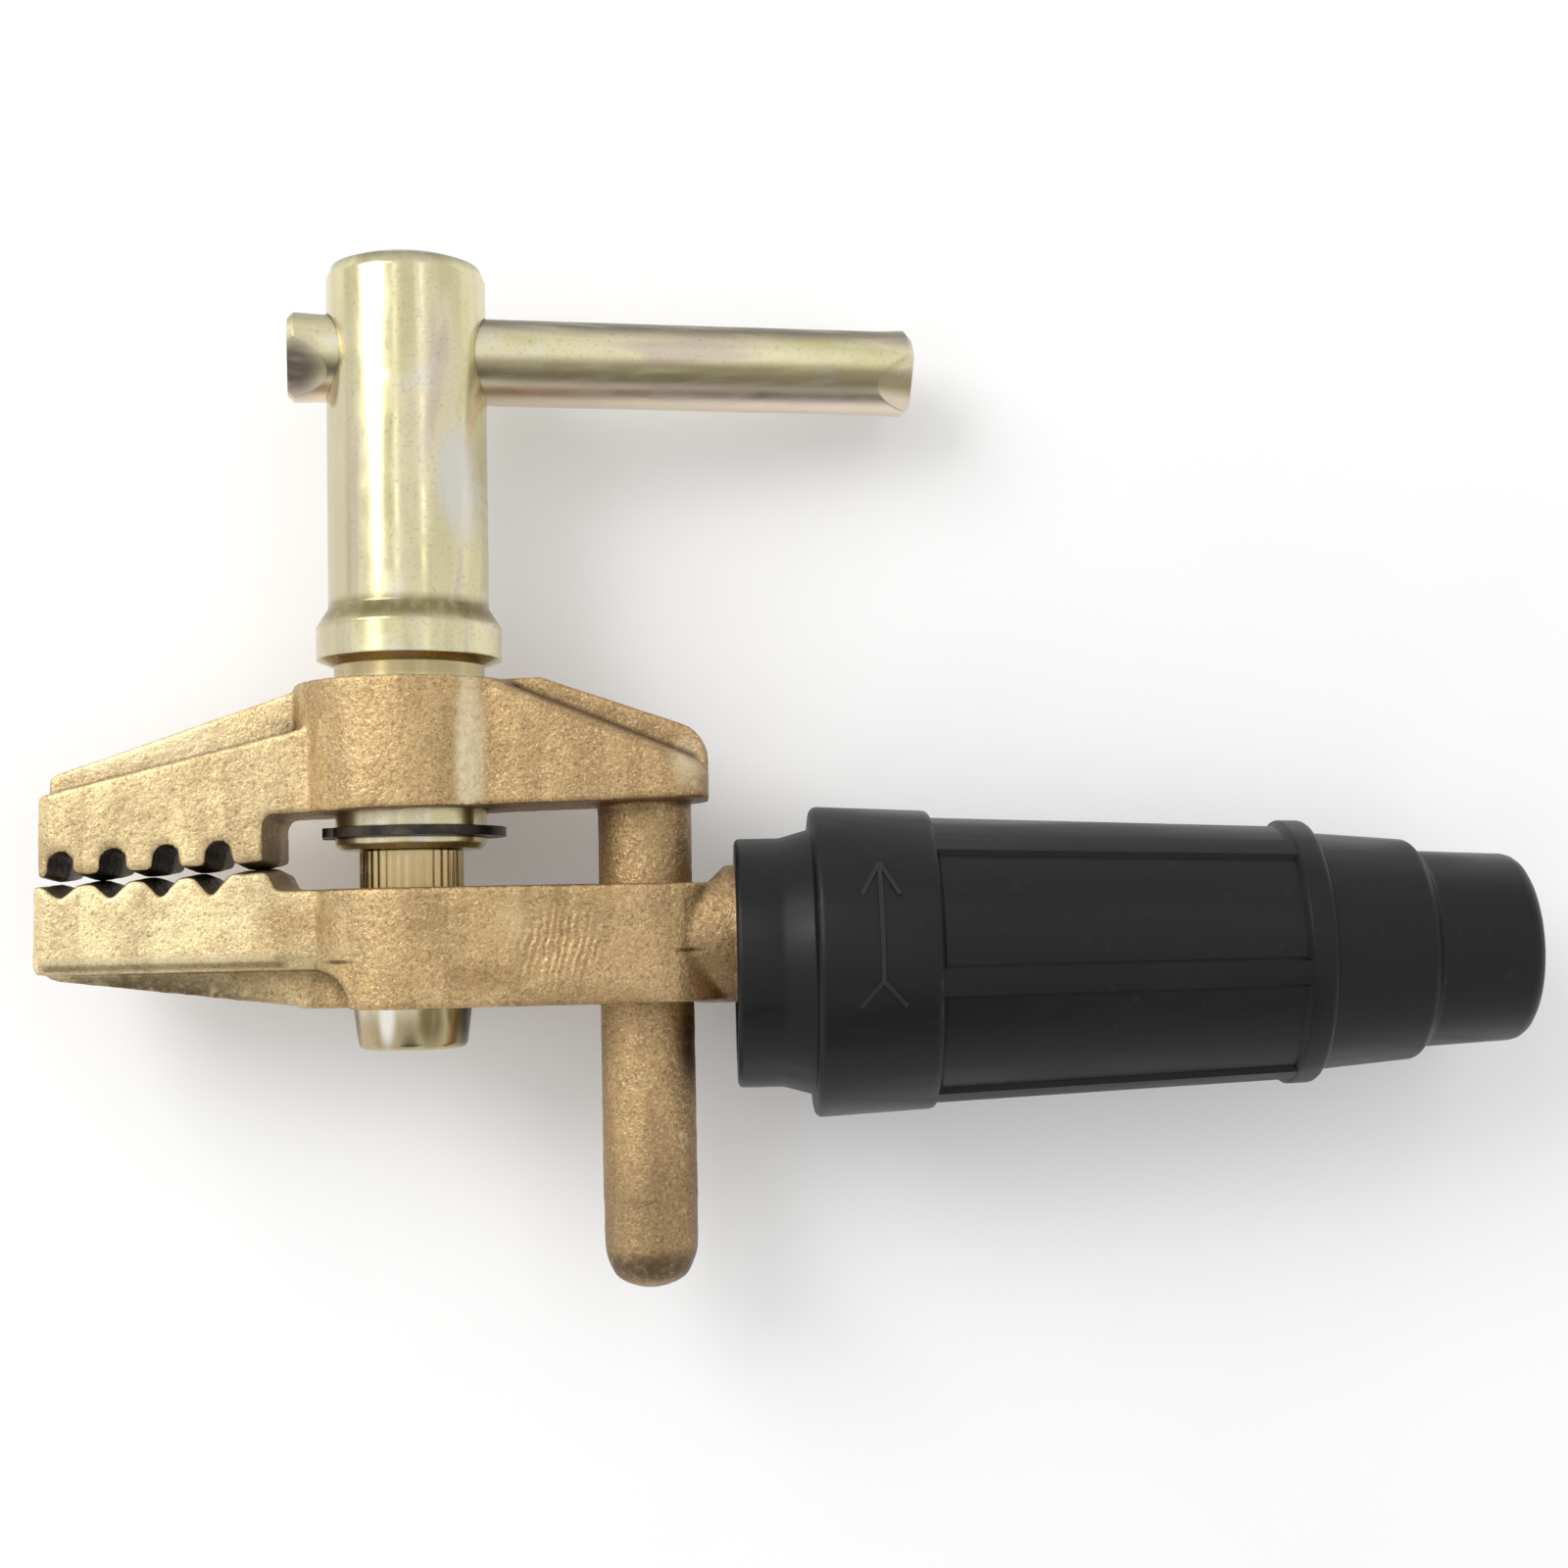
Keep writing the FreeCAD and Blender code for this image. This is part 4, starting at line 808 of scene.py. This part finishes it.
@dataclass
class CastJaw:
    """One jaw casting: a softened copy of its solid with a sandy skin."""

    node: str
    body: str
    finish: CastBrass
    voxel: float = 0.38
    smoothing: int = 2
    waviness: float = 0.05
    wave_sizes: tuple[float, float] = (2.2, 0.9)
    fine_wave: float = 0.6
    draft: float = 0.62
    tip_drop: float = 0.0
    half_width: float = 9.0
    soft_below: float = -100.0
    soft_rounds: int = 34
    teeth: tuple[float, float, float, float] = (-14.9, 17.5, -3.4, 6.5)
    tip_taper: float = 1.5
    root_taper: float = 2.0
    wall_slope: float = 0.7
    down_slope: float = -0.3

    def skin(self) -> bmesh.types.BMesh:
        """Lay an even fine mesh over the jaw's solid.

        Returns:
            The casting, in metres.
        """
        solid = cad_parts[self.node]
        shape = bmesh.new()
        shape.from_mesh(solid.data)
        shape.transform(solid.matrix_world)
        bmesh.ops.remove_doubles(shape, verts=shape.verts[:], dist=1e-6)
        mesh = bpy.data.meshes.new(self.node + "_blank")
        shape.to_mesh(mesh)
        shape.free()
        blank = bpy.data.objects.new(self.node + "_blank", mesh)
        bpy.context.scene.collection.objects.link(blank)
        remesh = blank.modifiers.new("skin", "REMESH")
        remesh.mode = "VOXEL"
        remesh.voxel_size = self.voxel * MM
        ready = blank.evaluated_get(bpy.context.evaluated_depsgraph_get())
        casting = bmesh.new()
        casting.from_mesh(ready.to_mesh())
        ready.to_mesh_clear()
        bpy.data.objects.remove(blank)
        return casting

    def lean_teeth(self, casting: bmesh.types.BMesh) -> None:
        """Give the walls between the jaws their draft towards the parting line at half width.

        Args:
            casting: The casting, in metres.
        """
        left, right, low, high = (limit * MM for limit in self.teeth)
        for vert in casting.verts:
            if left < vert.co.x < right and low < vert.co.y < high and abs(vert.normal.z) < self.wall_slope:
                share = max(0.0, 1.0 - abs(vert.co.z) / (self.half_width * MM))
                to_root = (right - vert.co.x) / (self.root_taper * MM)
                to_tip = (vert.co.x - left) / (self.tip_taper * MM)
                lean = share * min(1.0, to_root, to_tip) * self.draft * MM
                vert.co += Vector((vert.normal.x, vert.normal.y, 0.0)) * lean
                if vert.normal.y < self.down_slope:
                    vert.co.y -= self.tip_drop * MM * (right - vert.co.x) / (right - left)

    def ripple(self, casting: bmesh.types.BMesh) -> None:
        """Give the skin the waviness of the mould's sand.

        Args:
            casting: The casting, in metres.
        """
        broad, fine = (size * MM for size in self.wave_sizes)
        for vert in casting.verts:
            wave = noise.noise(vert.co / broad) + self.fine_wave * noise.noise(vert.co / fine)
            vert.co += vert.normal * wave * self.waviness * MM

    def piece(self) -> bpy.types.Object:
        """Build the casting.

        Returns:
            The finished piece.
        """
        casting = self.skin()
        smoothed(casting, casting.verts[:], self.smoothing)
        smoothed(casting, [vert for vert in casting.verts if vert.co.y < self.soft_below * MM], self.soft_rounds)
        casting.normal_update()
        self.lean_teeth(casting)
        casting.normal_update()
        self.ripple(casting)
        bmesh.ops.scale(casting, vec=(1 / MM, 1 / MM, 1 / MM), verts=casting.verts[:])
        piece = settled(casting, self.node + "_casting", 180.0)
        coat(piece, self.finish.material(self.node + "_brass"))
        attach(piece, self.body)
        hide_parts(self.node)
        return piece


@dataclass
class ClampStud:
    """The stud with its round head, splined shank and rolled thread."""

    centre: Place = (31.0, -2.4, 0.0)
    head_bottom: float = -20.3
    head_top: float = -14.9
    head_radius: float = 7.5
    head_end_radius: float = 6.8
    head_roundings: tuple[float, float] = (0.8, 0.25)
    head_steps: int = 72
    shank_top: float = 4.9
    shank_radius: float = 6.6
    shank_overlap: float = 0.2
    shank_rim: float = 0.15
    splines: int = 32
    spline_points: int = 3
    spline_depth: float = 0.17
    thread_top: float = 57.4
    thread_radius: float = 6.0
    thread_depth: float = 0.95
    thread_overlap: float = 0.5
    thread_chamfer: float = 0.3
    lead: float = 1.5
    spare_turns: int = 2
    flanks: tuple[float, float, float, float] = (0.125, 0.4375, 0.5625, 0.875)
    pitch: float = 1.75
    steps: int = 36
    finish: PlatedSteel = PlatedSteel(Axis.ALONG_THE_STUD, eased=0.12, spots=(
        Spot((31.0, -2.0, 0.0), (26.0, 9.0, 26.0), srgb(198, 174, 124), 0.95),
        # painted shade on the head's underside
        Spot((31.0, -21.5, 0.0), (26.0, 5.0, 26.0), srgb(168, 150, 110), 0.8),
        # painted reflection: a dark streak on the head
        Spot((34.2, -18.6, 7.0), (2.4, 5.0, 3.0), srgb(104, 88, 56), 0.8),
        # painted highlight: a bright streak on the head
        Spot((28.6, -18.6, 7.5), (1.5, 5.0, 4.0), srgb(255, 253, 244), 0.9),
        # painted reflection: a dark streak at the head's right edge
        Spot((38.4, -18.6, 1.0), (2.6, 6.0, 6.0), srgb(56, 46, 36), 0.9),
        # painted reflection: a darker streak at the head's left edge
        Spot((23.8, -18.6, 1.0), (1.8, 6.0, 6.0), srgb(96, 84, 60), 0.8),
    ))

    def head(self) -> bmesh.types.BMesh:
        """Turn the head."""
        return turned([
            (self.head_bottom, 0.0, 0.0),
            (self.head_bottom, self.head_end_radius, self.head_roundings[0]),
            (self.head_top, self.head_radius, self.head_roundings[1]),
            (self.head_top, 0.0, 0.0),
        ], Axis.ALONG_THE_STUD, self.centre, self.head_steps)

    def shank(self) -> bmesh.types.BMesh:
        """Extrude a round of splines and grooves.

        Returns:
            The closed shape.
        """
        shape = bmesh.new()
        made = bmesh.ops.create_circle(
            shape, cap_ends=True, segments=self.spline_points * self.splines, radius=self.shank_radius,
            matrix=Matrix.Rotation(math.radians(-90.0), 4, "X"))
        for vert in made["verts"][::self.spline_points]:
            vert.co *= 1.0 - self.spline_depth / self.shank_radius
        raised = bmesh.ops.extrude_face_region(shape, geom=shape.faces[:])
        top = [item for item in raised["geom"] if isinstance(item, bmesh.types.BMVert)]
        bottom = self.head_top - self.shank_overlap
        bmesh.ops.translate(shape, verts=top, vec=(0.0, self.shank_top - bottom, 0.0))
        bmesh.ops.recalc_face_normals(shape, faces=shape.faces[:])
        rims = [edge for edge in shape.edges if any(len(face.verts) > 4 for face in edge.link_faces)]
        bmesh.ops.bevel(
            shape, geom=rims, offset=self.shank_rim, segments=1, profile=0.5, affect="EDGES", material=-1)
        bmesh.ops.translate(shape, verts=shape.verts[:], vec=Vector(self.centre) + Vector((0.0, bottom, 0.0)))
        return shape

    def thread(self) -> bmesh.types.BMesh:
        """Wind one pitch of the thread up the stud, and cut both ends off square.

        Returns:
            The closed shape.
        """
        shape = bmesh.new()
        root, crest = self.thread_radius - self.thread_depth, self.thread_radius
        bottom = self.shank_top - self.thread_overlap
        turns = math.ceil((self.thread_top - bottom) / self.pitch) + self.spare_turns
        start = bottom - self.lead * self.pitch
        corners = zip((root, root, crest, crest, root, root), (0.0, *self.flanks, 1.0))
        verts = [shape.verts.new((radius, start + share * self.pitch, 0.0)) for radius, share in corners]
        for before, after in zip(verts, verts[1:]):
            shape.edges.new((before, after))
        bmesh.ops.spin(
            shape, geom=shape.verts[:] + shape.edges[:], cent=ORIGIN, axis=Axis.ALONG_THE_STUD.value,
            dvec=(0.0, self.pitch / self.steps, 0.0), angle=math.tau * turns, steps=self.steps * turns)
        bmesh.ops.remove_doubles(shape, verts=shape.verts[:], dist=1e-3)
        for height, way in ((bottom, -1.0), (self.thread_top, 1.0)):
            bmesh.ops.bisect_plane(
                shape, geom=shape.verts[:] + shape.edges[:] + shape.faces[:], dist=1e-5,
                plane_co=(0.0, height, 0.0), plane_no=(0.0, way, 0.0), clear_outer=True)
        bmesh.ops.holes_fill(shape, edges=[edge for edge in shape.edges if edge.is_boundary], sides=0)
        for vert in shape.verts:
            reach = math.hypot(vert.co.x, vert.co.z)
            limit = root - self.thread_chamfer + (self.thread_top - vert.co.y)
            if reach > limit:
                vert.co.x *= limit / reach
                vert.co.z *= limit / reach
        bmesh.ops.recalc_face_normals(shape, faces=shape.faces[:])
        bmesh.ops.translate(shape, verts=shape.verts[:], vec=self.centre)
        return shape

    def piece(self) -> bpy.types.Object:
        """Join the head, the shank and the thread.

        Returns:
            The finished piece.
        """
        piece = settled(joined(self.head(), self.shank(), self.thread()), "clamp_stud_threaded", 35.0)
        coat(piece, self.finish.material("stud_plating"))
        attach(piece, "fixed_jaw")
        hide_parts("clamp_stud")
        return piece


@dataclass
class PackedPieces:
    """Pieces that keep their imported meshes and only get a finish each."""

    finishes: dict[str, PlatedSteel | PlainMetal]

    def dress(self) -> list[bpy.types.Object]:
        """Give the pieces their finishes.

        Returns:
            The pieces.
        """
        for node, finish in self.finishes.items():
            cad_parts[node].data.materials.clear()
            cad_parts[node].data.materials.append(finish.material(node + "_finish"))
        return [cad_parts[node] for node in self.finishes]


@dataclass
class Handle(PackedPieces):
    """The long nut, its snap ring and its sliding bar."""

    finishes: dict[str, PlatedSteel | PlainMetal] = field(default_factory=lambda: {
        "handle_nut": PlatedSteel(Axis.ALONG_THE_STUD, spots=(
            Spot((38.5, 49.0, 7.5), (4.0, 10.0, 6.0), srgb(224, 221, 214), 0.85),
            # painted reflection: a darker band down the nut's left side
            Spot((22.5, 44.0, 6.0), (4.5, 44.0, 8.0), srgb(194, 183, 156), 0.8),
            # painted reflection: a dark band on the conical shoulder
            Spot((31.0, 32.6, 0.0), (30.0, 2.4, 30.0), srgb(134, 122, 84), 0.95),
            # painted shade under the flange
            Spot((31.0, 25.2, 0.0), (30.0, 1.7, 30.0), srgb(184, 166, 122), 0.95),
            Spot((31.0, 79.1, 0.0), (30.0, 3.2, 30.0), srgb(112, 107, 98), 0.8),
        )),
        "tommy_bar": PlatedSteel(Axis.ALONG_THE_CABLE, roughness=(0.3, 0.7, 0.28, 0.40), spots=(
            # painted reflection: a pale band along the bar's lower side
            Spot((60.0, 60.9, -4.0), (110.0, 3.4, 26.0), srgb(240, 222, 206), 0.85),
            # painted reflection: a dark olive band along the bar's middle
            Spot((60.0, 64.1, -4.0), (110.0, 2.3, 26.0), srgb(146, 134, 102), 0.85),
            # painted reflection: a dark band along the bar's top
            Spot((60.0, 71.6, -4.0), (110.0, 3.4, 26.0), srgb(98, 90, 82), 0.9),
            Spot((17.5, 64.5, 4.0), (5.5, 5.0, 7.0), srgb(100, 92, 84), 0.95),
        )),
        "retaining_ring": PlainMetal(srgb(54, 51, 50), srgb(92, 84, 74), 0.34),
    })


@dataclass
class RubberSleeve:
    """The coupler's moulded sleeve: nose, collar with an arrow, panelled body, bead and stepped cable end."""

    mouth: Place = (72.3, -12.75, 0.0)
    length: float = 101.5
    bore: float = 12.92
    inner_bore: float = 11.42
    cable_bore: float = 9.0
    bore_step: float = 11.2
    bore_end: float = 71.0
    nose: tuple[float, float] = (5.8, 15.9)
    flare: float = 17.0
    collar: tuple[float, float] = (9.7, 24.8)
    collar_radii: tuple[float, float] = (19.9, 19.1)
    body_radii: tuple[float, float] = (18.8, 16.8)
    bead: tuple[float, float] = (70.4, 73.8)
    bead_radii: tuple[float, float] = (17.0, 16.9)
    step_radii: tuple[float, float] = (15.35, 14.2)
    step_end: float = 86.8
    entry: tuple[float, float, float] = (88.0, 12.7, 12.0)
    ribs: int = 6
    rib_width: float = 3.2
    panel_depth: float = 0.6
    panel_margin: float = 1.0
    outer_from: float = 13.42
    panel_wall: float = 0.45
    arrow_strokes: tuple[tuple[float, float, float, float], ...] = (
        (0.0, 0.3, 15.4, 0.0),
        (-1.15, 5.7, 5.1, -26.6),
        (1.15, 5.7, 5.1, 26.6),
        (-1.4, -9.0, 4.3, -41.0),
        (1.4, -9.0, 4.3, 41.0),
    )
    stroke_width: float = 0.55
    stroke_depth: float = 0.6
    stroke_sink: float = 0.50
    stroke_step: float = 3.0
    arrow_shift: float = 0.3
    arrow_turn: float = 15.0
    turn: float = 8.0
    steps: int = 144

    def barrel(self) -> bmesh.types.BMesh:
        """Turn the sleeve and sink its panels.

        Returns:
            The closed shape.
        """
        front, rear = self.collar
        shape = turned([
            (0.0, self.bore, 0.3),
            (0.0, self.nose[1], 0.7),
            (self.nose[0], self.nose[1], 0.4),
            (front, self.flare, 0.3),
            (front, self.collar_radii[0], 1.0),
            (rear, self.collar_radii[1], 0.9),
            (rear, self.body_radii[0], 0.1),
            (self.bead[0], self.body_radii[1], 0.1),
            (self.bead[0], self.bead_radii[0], 0.3),
            (self.bead[1], self.bead_radii[1], 0.9),
            (self.bead[1], self.step_radii[0], 0.3),
            (self.step_end, self.step_radii[1], 0.5),
            (self.entry[0], self.entry[1], 0.3),
            (self.length, self.entry[2], 2.0),
            (self.length, self.cable_bore, 0.6),
            (self.bore_end, self.cable_bore, 0.0),
            (self.bore_end, self.inner_bore, 0.0),
            (self.bore_step, self.inner_bore, 0.0),
            (self.bore_step, self.bore, 0.0),
        ], Axis.ALONG_THE_CABLE, ORIGIN, self.steps)
        share = 360.0 / self.ribs
        half_rib = math.degrees(self.rib_width / 2 / self.body_radii[0])
        for number in range(self.ribs):
            panel = []
            for face in shape.faces:
                middle = face.calc_center_median()
                angle = math.degrees(math.atan2(middle.z, middle.y)) - share * number
                angle = (angle + 180.0) % 360.0 - 180.0
                outside = math.hypot(middle.y, middle.z) > self.outer_from
                along = rear + self.panel_margin < middle.x < self.bead[0] - self.panel_margin
                if outside and along and abs(angle) < share / 2 - half_rib:
                    panel.append(face)
            bmesh.ops.inset_region(
                shape, faces=panel, thickness=self.panel_wall, depth=-self.panel_depth,
                use_even_offset=True, use_boundary=True)
        return shape

    def arrow(self) -> bmesh.types.BMesh:
        """Lay the raised arrow's strokes flat, then wrap them round the collar.

        Returns:
            The shape.
        """
        shape = bmesh.new()
        for across, up, length, lean in self.arrow_strokes:
            made = bmesh.ops.create_cube(shape, size=1.0)
            place = Matrix.Translation((across, up, 0.0)) @ Matrix.Rotation(math.radians(lean), 4, "Z")
            size = Matrix.Diagonal((self.stroke_width, length, self.stroke_depth, 1.0))
            bmesh.ops.transform(shape, matrix=place @ size, verts=made["verts"])
        long_edges = [edge for edge in shape.edges if edge.calc_length() > self.stroke_step]
        bmesh.ops.subdivide_edges(shape, edges=long_edges, cuts=10, use_grid_fill=True)
        middle = (self.collar[0] + self.collar[1]) / 2 + self.arrow_shift
        for vert in shape.verts:
            radius = self.collar_radii[0] - self.stroke_sink + vert.co.z
            angle = math.radians(self.arrow_turn) + vert.co.y / self.collar_radii[0]
            vert.co = Vector((middle + vert.co.x, radius * math.sin(angle), radius * math.cos(angle)))
        bmesh.ops.recalc_face_normals(shape, faces=shape.faces[:])
        return shape

    def piece(self) -> bpy.types.Object:
        """Join the barrel and the arrow and set them on the coupler's axis.

        Returns:
            The finished piece.
        """
        barrel = self.barrel()
        swing = Matrix.Rotation(math.radians(self.turn), 3, "X")
        bmesh.ops.rotate(barrel, verts=barrel.verts[:], cent=ORIGIN, matrix=swing)
        whole = joined(barrel, self.arrow())
        bmesh.ops.translate(whole, verts=whole.verts[:], vec=self.mouth)
        piece = settled(whole, "rubber_sleeve_moulded", 40.0)
        coat(piece, MouldedRubber().material("sleeve_rubber"))
        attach(piece, "coupler")
        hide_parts("rubber_sleeve")
        return piece


@dataclass
class CouplerInside(PackedPieces):
    """The brass socket, copper ferrule and set screws inside the sleeve."""

    finishes: dict[str, PlatedSteel | PlainMetal] = field(default_factory=lambda: {
        "socket_body": PlainMetal(srgb(206, 172, 96), srgb(170, 132, 70), 0.28),
        "cable_ferrule": PlainMetal(srgb(196, 128, 92), srgb(140, 84, 60), 0.36),
        "rear_set_screw": PlainMetal(srgb(72, 70, 68), srgb(110, 104, 96), 0.36),
        "front_set_screw": PlainMetal(srgb(72, 70, 68), srgb(110, 104, 96), 0.36),
    })


# The studio


@dataclass(frozen=True)
class Lamp:
    """A rectangular lamp: its place, what it shines at and its size in millimetres, and its power in watts."""

    name: str
    place: Place
    aim: Place
    size: tuple[float, float]
    power: float

    def hang(self) -> bpy.types.Object:
        """Hang the lamp.

        Returns:
            The lamp.
        """
        light = bpy.data.lights.new(self.name, "AREA")
        light.shape = "RECTANGLE"
        light.size, light.size_y = (side * MM for side in self.size)
        light.energy = self.power
        lamp = bpy.data.objects.new(self.name, light)
        lamp.location = Vector(self.place) * MM
        lamp.rotation_euler = (Vector(self.aim) - Vector(self.place)).to_track_quat("-Z", "Y").to_euler()
        bpy.context.scene.collection.objects.link(lamp)
        return lamp


@dataclass
class Studio:
    """A pale floor, soft light with two long strips overhead, and the photograph's camera."""

    look_from: Place = (75.0, 10.0, 0.0)
    tilts: Place = (-0.06, 0.035, 0.0185)
    offset: tuple[float, float] = (-3.9678, -0.2405)
    distance: float = 287.0
    focal_pixels: float = 2266.4219
    frame_pixels: float = 1600.0
    sensor_width: float = 36.0
    clip: tuple[float, float] = (0.01, 20.0)
    floor_reach: float = 2500.0
    floor_colour: Colour = srgb(241, 241, 241)
    floor_patch: Colour = srgb(238, 238, 238)
    floor_mottle: Mottle = Mottle(60.0)
    floor_band: Band = Band(0.3, 0.7)
    floor_roughness: Ramp = (0.3, 0.7, 0.75, 0.85)
    floor_specular: float = 0.2
    floor_glow: float = 0.12
    dark_side: Place = (0.0, -0.67, 0.742)
    dark_spread: tuple[float, float] = (0.915, 0.975)
    dark_light: float = 0.10
    around_light: float = 0.84
    lamps: tuple[Lamp, ...] = (
        Lamp("strip_1", (-60.0, 400.0, 620.0), (-60.0, 400.0, 0.0), (46.0, 600.0), 0.10),
        Lamp("strip_2", (376.0, 400.0, 620.0), (376.0, 400.0, 0.0), (46.0, 600.0), 0.15),
        Lamp("soft_left", (-480.0, 460.0, 600.0), (40.0, 10.0, 0.0), (520.0, 520.0), 3.9),
    )

    def floor(self, height: float) -> bpy.types.Object:
        """Lay the floor under the clamp.

        Args:
            height: The clamp's lowest point, in metres.

        Returns:
            The floor.
        """
        shape = bmesh.new()
        bmesh.ops.create_grid(shape, x_segments=1, y_segments=1, size=self.floor_reach)
        bmesh.ops.translate(shape, verts=shape.verts[:], vec=(*self.look_from[:2], height / MM))
        plane = settled(shape, "studio_floor")
        bench = NodeBench("studio_floor_paint")
        faint = bench.mottle(self.floor_mottle)
        colour = bench.veiled(self.floor_colour, self.floor_patch, faint, self.floor_band)
        rough = bench.graded(faint, *self.floor_roughness)
        plane.data.materials.append(bench.finished(colour, rough, 0.0, self.floor_specular))
        seen = bench.tree.nodes.new("ShaderNodeLightPath").outputs
        rays = bench.reckoned("ADD", seen["Is Camera Ray"], seen["Is Glossy Ray"])
        rays = bench.reckoned("ADD", rays, seen["Is Transmission Ray"])
        bench.feed(bench.shader.inputs["Emission Color"], (1.0, 1.0, 1.0))
        bench.feed(bench.shader.inputs["Emission Strength"], bench.reckoned("MULTIPLY", rays, self.floor_glow))
        return plane

    def world(self) -> None:
        """Surround the clamp with pale light that is darker on one side overhead."""
        world = bpy.data.worlds.new("studio")
        world.use_nodes = True
        nodes, links = world.node_tree.nodes, world.node_tree.links
        shade = nodes["Background"]
        direction = nodes.new("ShaderNodeTexCoord")
        towards = nodes.new("ShaderNodeVectorMath")
        towards.operation = "DOT_PRODUCT"
        towards.inputs[1].default_value = self.dark_side
        spread = nodes.new("ShaderNodeMapRange")
        spread.interpolation_type = "SMOOTHSTEP"
        spread.inputs["From Min"].default_value, spread.inputs["From Max"].default_value = self.dark_spread
        spread.inputs["To Min"].default_value = self.around_light
        spread.inputs["To Max"].default_value = self.dark_light
        links.new(direction.outputs["Generated"], towards.inputs[0])
        links.new(towards.outputs["Value"], spread.inputs["Value"])
        links.new(spread.outputs["Result"], shade.inputs["Color"])
        shade.inputs["Strength"].default_value = 1.0
        bpy.context.scene.world = world

    def camera(self) -> bpy.types.Object:
        """Stand the camera where the photograph was taken.

        Returns:
            The camera.
        """
        lens = bpy.data.cameras.new("photo_camera")
        lens.sensor_width = self.sensor_width
        lens.lens = self.focal_pixels / self.frame_pixels * self.sensor_width
        lens.clip_start, lens.clip_end = self.clip
        camera = bpy.data.objects.new("photo_camera", lens)
        lean, swing, roll = self.tilts
        turn = Matrix.Rotation(roll, 3, "Z") @ Matrix.Rotation(swing, 3, "Y") @ Matrix.Rotation(lean, 3, "X")
        back = turn.transposed()
        stand = Vector(self.look_from) + back @ Vector((-self.offset[0], -self.offset[1], self.distance))
        camera.matrix_world = Matrix.Translation(stand * MM) @ back.to_4x4()
        bpy.context.scene.collection.objects.link(camera)
        bpy.context.scene.camera = camera
        return camera

    def build(self, height: float) -> None:
        """Set up the whole studio.

        Args:
            height: The clamp's lowest point, in metres.
        """
        things = [self.floor(height), *(lamp.hang() for lamp in self.lamps)]
        self.world()
        things.append(self.camera())
        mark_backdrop(*things)
        bpy.context.scene.view_settings.view_transform = "Standard"


def report(piece: bpy.types.Object) -> None:
    """Write a line about a piece."""
    log.info("%s: %d faces", piece.name, len(piece.data.polygons))


def main() -> None:
    """Build the clamp's pieces in order, then the studio."""
    logging.basicConfig(level=logging.INFO, format="%(name)s: %(message)s")
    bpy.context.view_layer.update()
    report(CastJaw("lower_jaw", "fixed_jaw", LOWER_JAW_BRASS).piece())
    report(ClampStud().piece())
    report(CastJaw("upper_jaw", "moving_jaw", UPPER_JAW_BRASS, tip_drop=0.45, soft_below=-42.0).piece())
    for piece in Handle().dress():
        report(piece)
    report(RubberSleeve().piece())
    for piece in CouplerInside().dress():
        report(piece)
    shown_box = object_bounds()
    Studio().build(shown_box[0].z)


if __name__ == "__main__":
    main()
